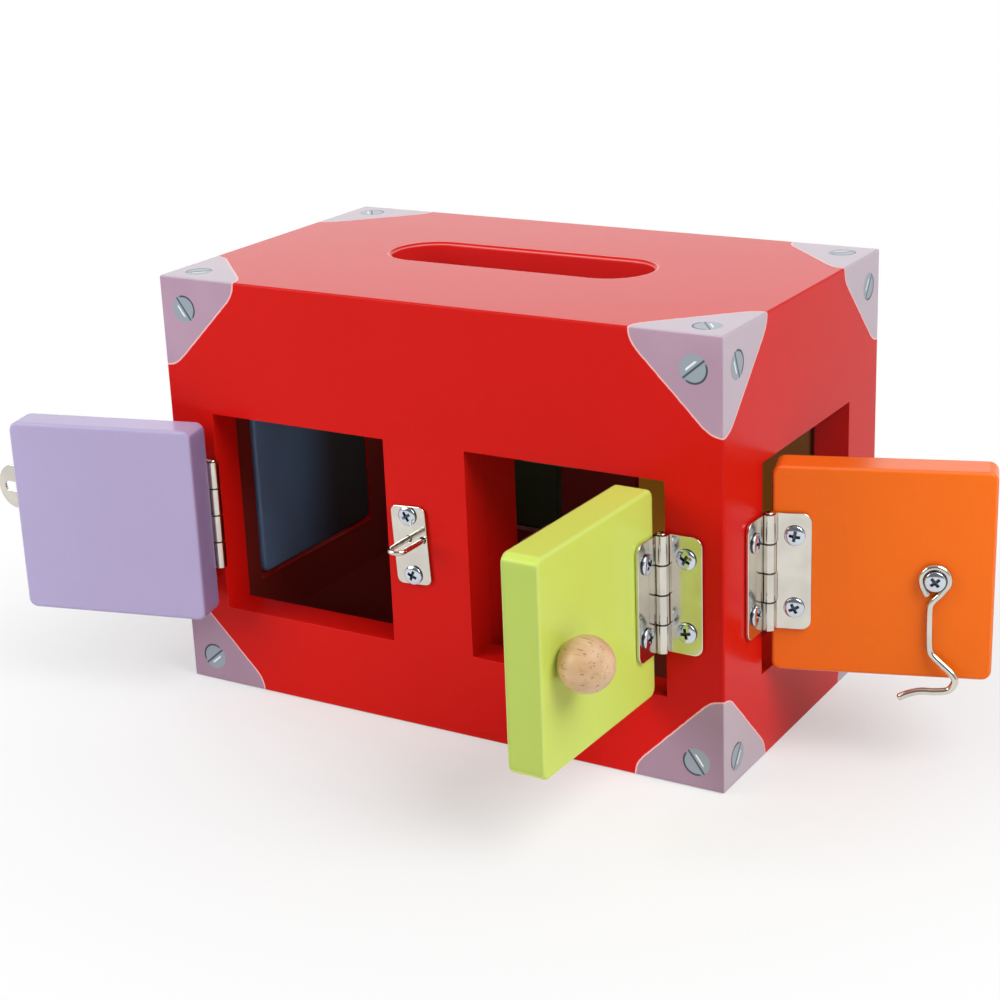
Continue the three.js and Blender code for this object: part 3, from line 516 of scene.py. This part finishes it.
# %% Red enamel
def guarded_red(name, stroke, inside_shade=shade(126, 42, 36)):
    finish = Finish(name, 0.09)
    parts = finish.add("ShaderNodeSeparateXYZ", {"Vector": finish.place}).outputs
    from_side = finish.calc("SUBTRACT", WIDTH / 2 * MM, finish.calc("ABSOLUTE", parts["X"]))
    from_front = finish.calc("SUBTRACT", DEPTH / 2 * MM, finish.calc("ABSOLUTE", parts["Y"]))
    from_end = finish.calc("MINIMUM", parts["Z"], finish.calc("SUBTRACT", HEIGHT * MM, parts["Z"]))
    spread = finish.calc("ADD", finish.calc("ADD", from_side, from_front), from_end)
    guard_cut, guard_reach, guard_curve = 45 * MM, 40 * MM, 6 * MM
    inside = finish.calc("MULTIPLY", finish.calc("SUBTRACT", guard_cut, spread), math.sqrt(0.5))
    for away in (from_side, from_front, from_end):
        short_of_end = finish.calc("SUBTRACT", guard_reach, away)
        inside = finish.calc("SMOOTH_MIN", inside, short_of_end, guard_curve)
    depth = finish.calc("MINIMUM", from_end, finish.calc("MINIMUM", from_side, from_front))
    peel, patch, film, normal = painted(finish, shade(208, 21, 15), stroke, 0)
    # Deep inside the box the red is painted dark: a painted shade. The batten has none.
    if inside_shade:
        film = finish.mix(finish.ramp(depth, (BOARD - 0.4) * MM, (BOARD - 0.05) * MM), film, inside_shade)
    lavender = finish.mix(finish.ramp(patch, 0.3, 0.7), shade(184, 152, 173), shade(176, 145, 166))
    # Lower down the lavender is painted darker, a painted shade.
    low_shade = finish.ramp(parts["Z"], 5 * MM, 60 * MM, 0.22, 0)
    lavender = finish.mix(low_shade, lavender, shade(90, 72, 74))
    # On the top and the ends the lavender is painted paler, a painted sheen.
    top_and_end_sheen = finish.ramp(finish.calc("MINIMUM", from_side, from_end), 0.2 * MM, 0.5 * MM, 0.6, 0)
    lavender = finish.mix(top_and_end_sheen, lavender, shade(200, 194, 200))
    waver = finish.calc("MULTIPLY_ADD", peel, 0.5 * MM, inside)
    film = finish.mix(finish.ramp(waver, -0.35 * MM, -0.15 * MM), film, shade(241, 188, 187))
    film = finish.mix(finish.ramp(waver, 0.3 * MM, 0.5 * MM), film, lavender)
    film = slot_light_and_highlight(finish, film, parts)
    outside = finish.calc("LESS_THAN", depth, SKIN * MM)
    film = painted_screws(finish, film, parts, from_side, from_end, outside)
    return finish.wear(film, finish.ramp(peel, 0.3, 0.7, 0.23, 0.25), normal)


red = guarded_red("red_enamel", UPRIGHT_STROKE)
red_top = guarded_red("red_enamel_top", LONG_STROKE)
red_batten = guarded_red("red_enamel_batten", UPRIGHT_STROKE, None)
print("box finishes:", red.name, red_top.name, red_batten.name)

# %% [markdown]
# ## Tools for making shapes
# Sheet metal and boards start as an outline that is cut out, given a thickness and eased along its edges.
# A filled 2D curve does all of that at once, holes too. Turned shapes come from a profile on the lathe.
# Wire follows a line. Each tool hands back a plain mesh in metres.
#
# Most outlines are STANDING: they are drawn in the wall's plane and grow outwards. LYING draws them across
# and grows them along the wall, and UPRIGHT draws them from above and grows them upwards.

# %% Meshes from objects
def settled(maker):
    scene.collection.objects.link(maker)
    bpy.context.view_layer.update()
    graph = bpy.context.evaluated_depsgraph_get()
    mesh = bpy.data.meshes.new_from_object(maker.evaluated_get(graph))
    bpy.data.objects.remove(maker)
    shell = bmesh.new()
    shell.from_mesh(mesh)
    bmesh.ops.remove_doubles(shell, verts=shell.verts, dist=0.004 * MM)
    bmesh.ops.recalc_face_normals(shell, faces=shell.faces)
    shell.to_mesh(mesh)
    shell.free()
    return mesh


def joined(*parts):
    shell = bmesh.new()
    for mesh, number in parts:
        before = len(shell.faces)
        shell.from_mesh(mesh)
        shell.faces.ensure_lookup_table()
        for face in shell.faces[before:]:
            face.material_index += number
    whole = bpy.data.meshes.new("joined")
    shell.to_mesh(whole)
    shell.free()
    return whole


print("meshes are", settled.__name__, "and", joined.__name__)

# %% Outlines
def arc(x, z, radius, start, stop, steps=8):
    turns = [math.radians(start + (stop - start) * step / steps) for step in range(steps + 1)]
    return [(x + radius * math.cos(turn), z + radius * math.sin(turn)) for turn in turns]


def rounded(width, height, radius, x=0, z=0, steps=8):
    dx, dz = width / 2 - radius, height / 2 - radius
    quarters = ((dx, -dz, -90), (dx, dz, 0), (-dx, dz, 90), (-dx, -dz, 180))
    return [point for right, high, start in quarters
            for point in arc(x + right, z + high, radius, start, start + 90, steps)]


STANDING = Matrix.Rotation(math.radians(90), 4, "X")
LYING = Matrix(((0, 0, 1, 0), (0, -1, 0, 0), (1, 0, 0, 0), (0, 0, 0, 1)))
UPRIGHT = Matrix.Identity(4)


def cut_out(outlines, low, high, ease, lay=STANDING, rounds=2):
    curve = bpy.data.curves.new("outline", "CURVE")
    curve.dimensions = "2D"
    curve.fill_mode = "BOTH"
    curve.extrude = ((high - low) / 2 - ease) * MM
    curve.bevel_depth = ease * MM
    curve.offset = -ease * MM
    curve.bevel_resolution = rounds
    for outline in outlines:
        spline = curve.splines.new("POLY")
        spline.points.add(len(outline) - 1)
        for point, (x, z) in zip(spline.points, outline):
            point.co = (x * MM, z * MM, 0, 1)
        spline.use_cyclic_u = True
    mesh = settled(bpy.data.objects.new("cut_out", curve))
    mesh.transform(lay @ Matrix.Translation((0, 0, (low + high) / 2 * MM)))
    return mesh


print("a rounded square has", len(rounded(DOOR, DOOR, 4)), "points")

# %% Turned shapes and wire
def turned(profile, lay, steps):
    shell = bmesh.new()
    rings = []
    for radius, high in profile:
        turns = (2 * math.pi * step / steps for step in range(steps))
        spots = (Vector((radius * math.cos(turn), radius * math.sin(turn), high)) for turn in turns)
        rings.append([shell.verts.new(place * MM) for place in spots])
    for one, other in zip(rings, rings[1:]):
        for step in range(steps):
            after = (step + 1) % steps
            shell.faces.new([one[step], one[after], other[after], other[step]])
    bmesh.ops.remove_doubles(shell, verts=shell.verts, dist=0.001 * MM)
    bmesh.ops.recalc_face_normals(shell, faces=shell.faces)
    mesh = bpy.data.meshes.new("turned")
    shell.to_mesh(mesh)
    shell.free()
    mesh.transform(lay)
    return mesh


def wire(points, radius, sides=6, tapers=None):
    curve = bpy.data.curves.new("wire", "CURVE")
    curve.dimensions = "3D"
    curve.bevel_depth = radius * MM
    curve.bevel_resolution = sides
    curve.use_fill_caps = True
    spline = curve.splines.new("POLY")
    spline.points.add(len(points) - 1)
    for number, (point, (x, y, z)) in enumerate(zip(spline.points, points)):
        point.co = (x * MM, y * MM, z * MM, 1)
        point.radius = (tapers or {}).get(number, 1)
    return settled(bpy.data.objects.new("wire", curve))


print("shapes are", turned.__name__, "or made of", wire.__name__)

# %% Carving and smoothing
def carved(mesh, cutter_mesh):
    made = bpy.data.objects.new("made", mesh)
    cutter = bpy.data.objects.new("cutter", cutter_mesh)
    scene.collection.objects.link(cutter)
    cut = made.modifiers.new("cut", "BOOLEAN")
    cut.object = cutter
    cut.solver = "EXACT"
    cut.use_self = True
    result = settled(made)
    bpy.data.objects.remove(cutter)
    return result


def block(x0, x1, n0, n1, z0, z1):
    shell = bmesh.new()
    for vert in bmesh.ops.create_cube(shell, size=1)["verts"]:
        share = vert.co + Vector((0.5, 0.5, 0.5))
        spread = Vector((share.x * (x1 - x0), share.y * (n1 - n0), share.z * (z1 - z0)))
        vert.co = (Vector((x0, -n1, z0)) + spread) * MM
    mesh = bpy.data.meshes.new("block")
    shell.to_mesh(mesh)
    shell.free()
    return mesh


def between(a, b, c, d, t):
    square = 2 * a - 5 * b + 4 * c - d
    cube = 3 * b - a - 3 * c + d
    return 0.5 * (2 * b + (c - a) * t + square * t * t + cube * t ** 3)


def smooth(points, steps=6):
    line = []
    ends = [points[0], *points, points[-1]]
    for around in zip(ends, ends[1:], ends[2:], ends[3:]):
        for step in range(steps):
            line.append(tuple(between(*values, step / steps) for values in zip(*around)))
    return [*line, points[-1]]


print("more tools:", ", ".join(tool.__name__ for tool in (carved, block, smooth)))

# %% [markdown]
# ## Where pieces go
# Every wall is drawn as seen from outside: x to the right, z up, y inwards. A doorway's own frame stands
# on its hinge line at the door's middle height. The right-hand doors are mirror images, so their meshes
# are mirrored and their places are not. The table gives each doorway's wall, how far its hinge stands from
# the wall's middle, the hinge's side (1 is left, -1 is right) and how far the door is open, in degrees.

# %% Walls and doorways
walls = {
    "front": spot(0, -DEPTH / 2), "right_end": spot(WIDTH / 2, 0, turn=90),
    "back": spot(0, DEPTH / 2, turn=180), "left_end": spot(-WIDTH / 2, 0, turn=-90),
}
doorways = {
    "purple": ("front", -111.75, 1, 166), "lime": ("front", 109.75, -1, 89),
    "orange": ("right_end", -43.75, 1, 72), "gold": ("back", -111.75, 1, 0),
    "green": ("back", 109.75, -1, 0), "blue": ("left_end", -46.25, 1, 0),
}


def frame_place(colour):
    wall, axis, *_ = doorways[colour]
    return walls[wall] @ spot(axis, -HINGE_OUT, DOOR_MIDDLE)


def door_place(colour):
    *_, hand, angle = doorways[colour]
    return frame_place(colour) @ spot(0, 0, turn=-angle * hand)


for colour in doorways:
    print(colour, "hinge at", [round(value / MM, 2) for value in frame_place(colour).translation])

# %% [markdown]
# A finished piece gets its shading, its finishes and its place. It rides on the body that it moves with, and
# stands for the CAD solid that it replaces. Faces that meet at more than SHARP keep a crisp edge.

# %% Pieces
SHARP = math.radians(38)


def piece(name, mesh, body, place, finishes, stands_for, mirror=1):
    if mirror < 0:
        mesh.transform(Matrix.Scale(-1, 4, (1, 0, 0)))
        mesh.flip_normals()
    mesh.name = name
    mesh.shade_smooth()
    mesh.set_sharp_from_angle(angle=SHARP)
    for finish in finishes:
        mesh.materials.append(finish)
    made = bpy.data.objects.new(name, mesh)
    scene.collection.objects.link(made)
    made.matrix_world = place
    made.modifiers.new("face_normals", "WEIGHTED_NORMAL").keep_sharp = True
    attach(made, body)
    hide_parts(*stands_for)


print("a crisp edge turns more than", round(math.degrees(SHARP)), "degrees")

# %% [markdown]
# ## Walls
# A wall is one board with its doorways sawn out. Its outer edges are rounded by the router, while the
# doorways keep crisp edges that only the paint softens. A grid of faces with cells left out, pulled to a
# thickness, gives clean square openings, and bevel weights tell the two kinds of edge apart.

# %% Wall board
SILL, HEAD = 38, 129.5


def wall_board(width, openings):
    xs = sorted({-width / 2, width / 2, *(x for pair in openings for x in pair)})
    zs = [0, SILL, HEAD, HEIGHT]
    shell = bmesh.new()
    spots = {(x, z): shell.verts.new((x * MM, 0, z * MM)) for x in xs for z in zs}
    for x0, x1 in zip(xs, xs[1:]):
        for z0, z1 in zip(zs, zs[1:]):
            if z0 == SILL and any(low <= x0 < high for low, high in openings):
                continue
            shell.faces.new([spots[x0, z0], spots[x1, z0], spots[x1, z1], spots[x0, z1]])
    bmesh.ops.recalc_face_normals(shell, faces=shell.faces)
    made = bmesh.ops.extrude_face_region(shell, geom=shell.faces[:])
    moved = [item for item in made["geom"] if isinstance(item, bmesh.types.BMVert)]
    bmesh.ops.translate(shell, verts=moved, vec=(0, BOARD * MM, 0))
    bmesh.ops.recalc_face_normals(shell, faces=shell.faces)
    weights = shell.edges.layers.float.new("bevel_weight_edge")
    reaches_corner = width == WIDTH
    for edge in shell.edges:
        one, two = (vert.co / MM for vert in edge.verts)
        if edge.calc_face_angle(0) < 0.1:
            continue
        at_front = one.y < 1 and two.y < 1
        through = round(abs(one.y - two.y)) == BOARD
        top_or_bottom = one.z == two.z and round(one.z) in (0, HEIGHT)
        side = round(abs(one.x), 2) == width / 2 and round(abs(two.x), 2) == width / 2
        if at_front and top_or_bottom or side and reaches_corner and (at_front or through):
            edge[weights] = 1
        elif not (top_or_bottom or side):
            edge[weights] = 0.2
    mesh = bpy.data.meshes.new("wall")
    shell.to_mesh(mesh)
    shell.free()
    maker = bpy.data.objects.new("wall", mesh)
    bevel = maker.modifiers.new("eased", "BEVEL")
    bevel.limit_method = "WEIGHT"
    bevel.width = 0.9 * MM
    bevel.segments = 5
    return settled(maker)


print("doorways are", HEAD - SILL, "mm high")

# %% Walls
long_openings = ((-111.75, -21.75), (18.25, 109.75))
end_width = DEPTH - 2 * BOARD
wall_sizes = {
    "front": (WIDTH, long_openings), "back": (WIDTH, long_openings),
    "right_end": (end_width, ((-43.75, 47.75),)), "left_end": (end_width, ((-46.25, 45.25),)),
}
for name, (width, openings) in wall_sizes.items():
    mesh = wall_board(width, openings)
    mesh.transform(walls[name])
    piece(f"{name}_board", mesh, "box", Matrix.Identity(4), [red], [f"{name}_panel"])
    print(name, "wall has", len(mesh.polygons), "faces")

# %% [markdown]
# ## Top
# The top lies between the walls and is level with them. Its hand slot is routed with a rounded rim above
# and below, so that fingers don't meet an edge. The outline is drawn a rim wider than the board, so that
# the rounded outer edge is hidden in the walls and the joint is closed, as filler and paint close it.

# %% Top, bottom and batten
rim = 2.2
lid_outline = rounded(WIDTH - 2 * BOARD + 2 * rim, end_width + 2 * rim, rim)
hand_slot = rounded(127, 36, 17.9, -2.1, 5, 24)
lid = cut_out([lid_outline, hand_slot], HEIGHT - BOARD, HEIGHT, rim, UPRIGHT, 5)
piece("top_board", lid, "box", Matrix.Identity(4), [red_top], ["top_panel"])
for name, finish in (("bottom_panel", red_top), ("middle_batten", red_batten)):
    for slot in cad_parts[name].material_slots:
        slot.material = finish
print("top has", len(lid.polygons), "faces")

# %% [markdown]
# ## Doors
# A door is a board of 88 mm square with small round corners and well eased edges. All six are the same.

# %% Doors
# Each door's colour, then how dark its inner face is painted, a painted shade, near and away from the hinge.
door_looks = {
    "purple": (shade(178, 166, 204), (0.04, 0)), "lime": (shade(205, 224, 100), (0.3, 0.1)),
    "orange": (shade(253, 115, 16), (0.3, 0.1)), "gold": (shade(236, 168, 52), (0.3, 0.1)),
    "green": (shade(70, 128, 74), (0.9, 0.85)), "blue": (shade(116, 158, 202), (0.97, 0)),
}
for number, (colour, (_, _, hand, _)) in enumerate(doorways.items()):
    outline = rounded(DOOR, DOOR, 4, DOOR_CENTRE)
    board = cut_out([outline], -HINGE_OUT - BOARD, -HINGE_OUT, 1.5, rounds=4)
    paint, inner_shading = door_looks[colour]
    finish = enamel(f"{colour}_enamel", paint, 3.0 * number, hand, inner_shading)
    piece(f"{colour}_board", board, f"{colour}_door", door_place(colour), [finish],
          [f"{colour}_door"], hand)
print("door finishes:", len(door_looks))

# %% [markdown]
# ## Screws
# The screws are pan heads with a cross recess. A lathe profile makes the head, and two crossed bars cut
# the recess. Cutting it once and copying the head is much quicker than cutting every screw. The walls of
# the recess are found by their place, below the crown, and get the dark finish, a painted shade and a trace
# of dirt.
# So does the head's rim, a painted shade for the shadow where the head meets the plate.

# %% Screw heads
def screw_head(radius, height, length, shank):
    low = 0.36 * height
    crown = [(radius * math.sin(turn), low + (height - low) * math.cos(turn))
             for turn in (math.radians(90 * step / 9) for step in range(9, -1, -1))]
    profile = [(0, -length), (shank, -length + 2 * shank), (shank, 0), (radius * 0.97, 0), *crown]
    cross = bmesh.new()
    for turn in (0, 90):
        bar = bmesh.ops.create_cube(cross, size=1)["verts"]
        for vert in bar:
            long, wide = (0.75, 0.2) if vert.co.y > 0 else (1.5, 0.44)
            x, y, z = vert.co
            vert.co = Vector((x * radius * long, (y * 1.4 - 1) * height, z * radius * wide)) * MM
        bmesh.ops.rotate(cross, verts=bar, matrix=Matrix.Rotation(math.radians(turn), 3, "Y"))
    cutter = bpy.data.meshes.new("cross")
    cross.to_mesh(cutter)
    cross.free()
    mesh = carved(turned(profile, STANDING, 36), cutter)
    for face in mesh.polygons:
        centre = face.center / MM
        away = min(math.hypot(centre.x, centre.z) / radius, 1)
        crown_height = low + (height - low) * math.sqrt(1 - away ** 2)
        in_cross = away < 0.75 and 0 < -centre.y < crown_height - 0.06 * height
        # The rim of the head gets the dark finish as well, a painted shade where the head meets the plate.
        if in_cross or away > 0.93 and 0 < -centre.y < 0.8 * low:
            face.material_index = 1
    return mesh


large_screw = screw_head(4.25, 1.6, 11, 1.5)
small_screw = screw_head(2.6, 1.1, 9, 1.1)
screw_count = 0


def screw(x, z, n, small=False, behind=False):
    global screw_count
    screw_count += 1
    mesh = (small_screw if small else large_screw).copy()
    turn = Matrix.Rotation(math.radians(screw_count * 37 % 90), 4, "Y")
    mesh.transform(spot(x, -n, z, 180 if behind else 0) @ turn)
    return mesh


print("a large screw has", len(large_screw.polygons), "faces")

# %% [markdown]
# ## Butt hinges
# A hinge leaf is stamped from sheet, and two tongues of it are rolled into knuckles that stand between the
# other leaf's. Drawing the rolled sheet as one outline keeps the slit where its end meets the leaf.

# %% Hinge leaf
def knuckle(radius, hole, sheet, reach, low, high, under=1):
    slit = 0.14
    level = radius - sheet - slit
    tip = math.degrees(math.asin(level / radius))
    inner_tip = math.degrees(math.asin(min(level / hole, 0.99)))
    outline = [
        (reach, radius), (0, radius), *arc(0, 0, radius, 90, 360 + tip, 30)[1:],
        *arc(0, 0, hole, 360 + inner_tip, 90, 24), (hole * 0.6, radius - sheet), (reach, radius - sheet),
    ]
    if under < 0:
        outline = [(x, -y) for x, y in outline]
    return cut_out([outline], low, high, 0.12, UPRIGHT, 1)


def hinge_leaf(first):
    plate = [(2.7, -25), *arc(12.8, -21, 4, -90, 0), *arc(12.8, 21, 4, 0, 90), (2.7, 25)]
    parts = [(cut_out([plate], -2.8, -1.4, 0.3), 0)]
    gap, trim = 0.3, 0.17
    length = (50 - 3 * gap) / 4
    for number in range(first, 4, 2):
        low = 25 - (number + 1) * length - number * gap
        parts.append((knuckle(2.8, 1.6, 1.4, 3.5, low + trim, low + length - trim), 0))
    for side in (-1, 1):
        parts.append((screw(10, side * 15.5, -1.4), 1))
    return joined(*parts)


print("a leaf is made by", hinge_leaf.__name__, "and its rolls by", knuckle.__name__)

# %% Hinges
PLATED = [nickel, zinc, recess]
dome = [(2 * math.cos(turn), 25.3 + 0.7 * math.sin(turn)) for turn in map(math.radians, range(0, 91, 15))]
for colour, (_, _, hand, _) in doorways.items():
    piece(f"{colour}_hinge_on_door", hinge_leaf(0), f"{colour}_door", door_place(colour), PLATED,
          [f"{colour}_door_leaf"], hand)
    piece(f"{colour}_hinge_on_box", hinge_leaf(1), "box", frame_place(colour), PLATED,
          [f"{colour}_box_leaf"], -hand)
    pin = turned([(0, -25), (1.1, -25), (1.25, -24.8), (1.25, 25.3), *dome], UPRIGHT, 32)
    piece(f"{colour}_pin", pin, "box", frame_place(colour), [nickel], [f"{colour}_hinge_pin"])
print("hinges:", len(doorways), "with", screw_count, "screws")

# %% [markdown]
# ## Staple and hasp
# The staple is a bent wire that passes through a plate into the wood. Someone screwed the plate on a few
# degrees askew, so it is turned about the wire. The hasp's leaf and strap share three knuckles on a pin,
# and the strap stands 15 degrees off the door, as it fell when the door swung back.

# %% Staple
loop_x, loop_z, loop_legs = -6.8, 87.5, (-10.3, -3.3)
tilt = Matrix.Rotation(math.radians(-3.3), 4, "Y")
askew = spot(loop_x, 0, loop_z) @ tilt @ spot(-loop_x, 0, -loop_z)
holes = [arc(x, loop_z, 1.5, 0, 345, 23) for x in loop_legs]
plate = joined(
    (cut_out([rounded(17, 35, 3, -9.6, 84.7), *holes], 0.25, 1.45, 0.3), 0),
    *((screw(-9.6, 84.7 + side * 13.25, 1.45), 1) for side in (-1, 1)),
)
plate.transform(askew)
piece("staple_base", plate, "box", walls["front"], PLATED, ["staple_plate"])
bend = [(x, y, loop_z) for x, y in arc(loop_x, -14.8, 3.5, 180, 360, 24)]
loop = wire([(loop_legs[0], 9, loop_z), *bend, (loop_legs[1], 9, loop_z)], 1.2)
piece("staple_wire", loop, "box", walls["front"], [nickel], ["staple_loop"])
print("staple:", len(plate.polygons) + len(loop.polygons), "faces")

# %% Hasp
hasp_place = door_place("purple") @ spot(76.6, 0.6, 3.75)
leaf = [(2.7, -10.5), *arc(20, -7.5, 3, -90, 0), *arc(20, 7.5, 3, 0, 90), (2.7, 10.5)]
hasp_leaf = joined(
    (cut_out([leaf], -2.2, -1, 0.25), 0),
    *((knuckle(2.2, 1.2, 1.2, 3.2, low, low + 6.8), 0) for low in (-10.5, 3.7)),
    *((screw(14, side * 5.5, -1), 1) for side in (-1, 1)),
)
piece("hasp_on_door", hasp_leaf, "purple_door", hasp_place, PLATED, ["hasp_leaf"], -1)
hasp_rod = [(0, -10.5), (0.7, -10.5), (0.9, -10.3), (0.9, 10.3), (0.7, 10.5), (0, 10.5)]
hasp_pin = turned(hasp_rod, UPRIGHT, 24)
piece("hasp_rod", hasp_pin, "purple_door", hasp_place, [nickel], ["hasp_pin"])
strap = [(2.7, -10.5), *arc(29.15, 0, 10.5, -90, 90, 32), (2.7, 10.5)]
strap_mesh = joined(
    (cut_out([strap, rounded(14.6, 4.4, 2.1, 28.35, 0)], 1, 2.2, 0.3), 0),
    (knuckle(2.2, 1.2, 1.2, 3.2, -3.4, 3.4, -1), 0),
)
strap_place = hasp_place @ spot(0, 0, turn=-15)
piece("hasp_flap", strap_mesh, "hasp", strap_place, [nickel], ["hasp_strap"])
print("hasp strap:", len(strap_mesh.polygons), "faces")

# %% [markdown]
# ## Ball knob and magnetic catch
# The knob is a ball with a small flat foot, held by a screw from inside the door. The catch hangs behind
# the doorway's head: a moulded case with a magnet bar in its mouth, which holds a steel strike on the door.

# %% Knob
knob_x, knob_radius = 73.2, 10.9
foot = math.degrees(math.acos(4.5 / knob_radius))
ball = arc(0, 7.13, knob_radius, -foot, 90, 30)
knob_mesh = turned([(0, -2.8), *ball], spot(knob_x, 0) @ STANDING, 56)
piece("ball_knob", knob_mesh, "lime_door", door_place("lime"), [beech], ["knob"], -1)
knob_screw = screw(knob_x, 0, -19.3, behind=True)
piece("ball_knob_screw", joined((knob_screw, 0)), "lime_door", door_place("lime"),
      [zinc, recess], ["knob_screw"], -1)
print("knob:", len(knob_mesh.polygons), "faces")

# %% Catch
catch_x = 61.2
strike = joined(
    (cut_out([rounded(22, 13, 1.5, catch_x, 36.5)], -20.3, -19.3, 0.2), 0),
    (screw(catch_x, 33.6, -20.3, True, True), 1),
)
piece("catch_strike", strike, "lime_door", door_place("lime"), [blued, zinc, recess],
      ["strike_plate"], -1)
case = carved(cut_out([rounded(28, 17.2, 2, catch_x, 47.15)], -31.55, -20.55, 0.8),
              block(catch_x - 9.25, catch_x + 9.25, -26.8, -19, 39.3, 44.3))
flange = cut_out([rounded(38, 14, 3, catch_x, 53.75)], -21.2, -19.3, 0.4)
ears = [(screw(catch_x + side * 16.2, 53.75, -21.2, True, True), 1) for side in (-1, 1)]
piece("catch_case", joined((case, 0), (flange, 0), *ears), "box", frame_place("lime"),
      [plastic, zinc, recess], ["magnet_case"], -1)
bar = cut_out([rounded(18, 4.5, 0.6, catch_x, 41.8)], -26.5, -20.6, 0.3)
piece("catch_magnet", bar, "box", frame_place("lime"), [ferrite], ["magnet"], -1)
print("catch:", len(case.polygons), "faces in the case")

# %% [markdown]
# ## Hook and eye
# The hook is one length of wire: a ring, a kinked shank, and an arm that drops into the eye. Its points
# were read from the photograph, in millimetres from the screw, and a smooth line is drawn through them.

# %% Hook
ring_radius, ring_out = 5.4, -1.75
turns = [(ring_radius * math.cos(turn), ring_out, ring_radius * math.sin(turn))
         for turn in map(math.radians, (150, 120, 90, 60, 30, 0, -25, -48))]
tail = [(x, ring_out, z) for x, z in ((-2.8, -6.5), (-4, -4.5), (-5, -2.3), (-ring_radius, 0.3))]
shank = [
    (1.9, 0, -6.3), (0.1, 0, -8.1), (-1.3, 0, -10), (-1.8, 0, -12.4), (-1.8, 0, -20), (-1.6, 0, -27.5),
    (-1.2, 0, -30.2), (0, 0.3, -32.3), (2.3, 1, -34.3), (5.1, 2, -36.5), (7.6, 2.8, -38.6), (9, 3.3, -41.9),
    (6.6, 3.3, -45.7), (1.2, 3.3, -46.7), (-4.5, 3.3, -46.8), (-9.3, 3.3, -48.2), (-13.1, 3.3, -50.2),
]
line = smooth(tail + turns + [(x, ring_out - lift, z) for x, lift, z in shank])
hook_mesh = wire(line, 1.5, 5, {0: 0.9, len(line) - 1: 0.8})
hook_x, hook_z = 65.5, -0.9
hook_place = door_place("orange") @ spot(hook_x, HINGE_OUT, hook_z)
piece("wire_hook", hook_mesh, "hook", hook_place, [nickel], ["hook"])
collar_profile = [(1.5, -11), (1.5, -2.8), (3.2, -2.8), (3.2, 0.3), (1.5, 0.3)]
collar = turned(collar_profile, spot(hook_x, 0, hook_z) @ STANDING, 32)
hook_screw = joined((collar, 0), (screw(hook_x, hook_z, 0.2), 0))
piece("wire_hook_screw", hook_screw, "orange_door", door_place("orange"), [zinc, recess],
      ["hook_screw"])
print("hook:", len(line), "points along the wire")

# %% Screw eye
eye_x, eye_z, eye_radius = 114.4, -3.9, 5.4
ring = [(x, y, eye_z) for x, y in arc(eye_x, -3.6, eye_radius, 108, 432, 40)]
stem = [(eye_x, y, eye_z) for y in (12, 10, 4, 1.9)]
eye = wire([*stem, *ring], 1, 5, {0: 0.2})
piece("screw_eye", eye, "box", frame_place("orange"), [nickel], ["hook_eye"])
print("eye:", len(eye.polygons), "faces")

# %% [markdown]
# ## Slide bolts and turn button
# Each bolt slides in two guides on a plate and ends in a third guide on the frame. The gold door's bolt is
# the same one standing upright. The turn button is a round-ended slip of beech on one screw.

# %% Bolts
def bolt_guide(start):
    arch = [(-4.1, 0.25), (4.1, 0.25), *arc(0, 4.25, 4.1, 0, 180, 24)]
    return cut_out([arch, arc(0, 4.25, 2.8, 0, 345, 23)], start, start + 6, 0.35, LYING)


def bolt_base(x0, x1, guides, screws):
    plate = cut_out([rounded(x1 - x0, 22, 2.5, (x0 + x1) / 2, 0)], 0.25, 1.45, 0.3)
    return joined((plate, 0), *((bolt_guide(start), 0) for start in guides),
                  *((screw(x, side * 6.25, 1.45, True), 1) for x in screws for side in (-1, 1)))


handle = [(1.6, 4.3), (1.6, 7.9), *arc(0, 10.75, 3, -57, 90, 21)]
bolt_bar = [(0, -30.3), (2, -30.3), (2.5, -29.8), (2.5, 15.8), (1.7, 17), (0, 17)]
for colour, x, z, turn, gap in (("blue", 69.2, 0, 0, 24.7), ("gold", 73.2, 24.6, -90, 23.55)):
    lean = spot(x, HINGE_OUT, z) @ Matrix.Rotation(math.radians(turn), 4, "Y")
    place = frame_place(colour) @ lean
    base = bolt_base(-17, 17, (-14.6, 8.6), (-7, 7))
    piece(f"{colour}_bolt_plate", base, f"{colour}_door", place, PLATED, [f"{colour}_bolt_base"])
    bar = joined(
        (turned(bolt_bar, spot(0, -4.25) @ LYING, 32), 0),
        (turned(handle, spot(-7, 0) @ STANDING, 32), 0),
    )
    piece(f"{colour}_bolt_bar", bar, f"{colour}_bolt", place, [nickel], [f"{colour}_bolt"])
    keeper = bolt_base(gap, gap + 12, (gap + 3,), (gap + 6,))
    piece(f"{colour}_keeper", keeper, "box", place, PLATED, [f"{colour}_bolt_keeper"])
    print(colour, "bolt lies at", [round(value / MM, 1) for value in place.translation])

# %% Turn button
button_x = 100.5
slip = cut_out([rounded(12, 32, 6, button_x, 0, 16)], -2.8, 3.2, 1.2, rounds=4)
piece("button", slip, "turn_button", frame_place("green"), [beech_long], ["turn_button"], -1)
button_screw = joined((screw(button_x, 0, 3.45), 0))
piece("button_screw", button_screw, "box", frame_place("green"), [zinc, recess],
      ["turn_button_screw"], -1)
print("screws in all:", screw_count)
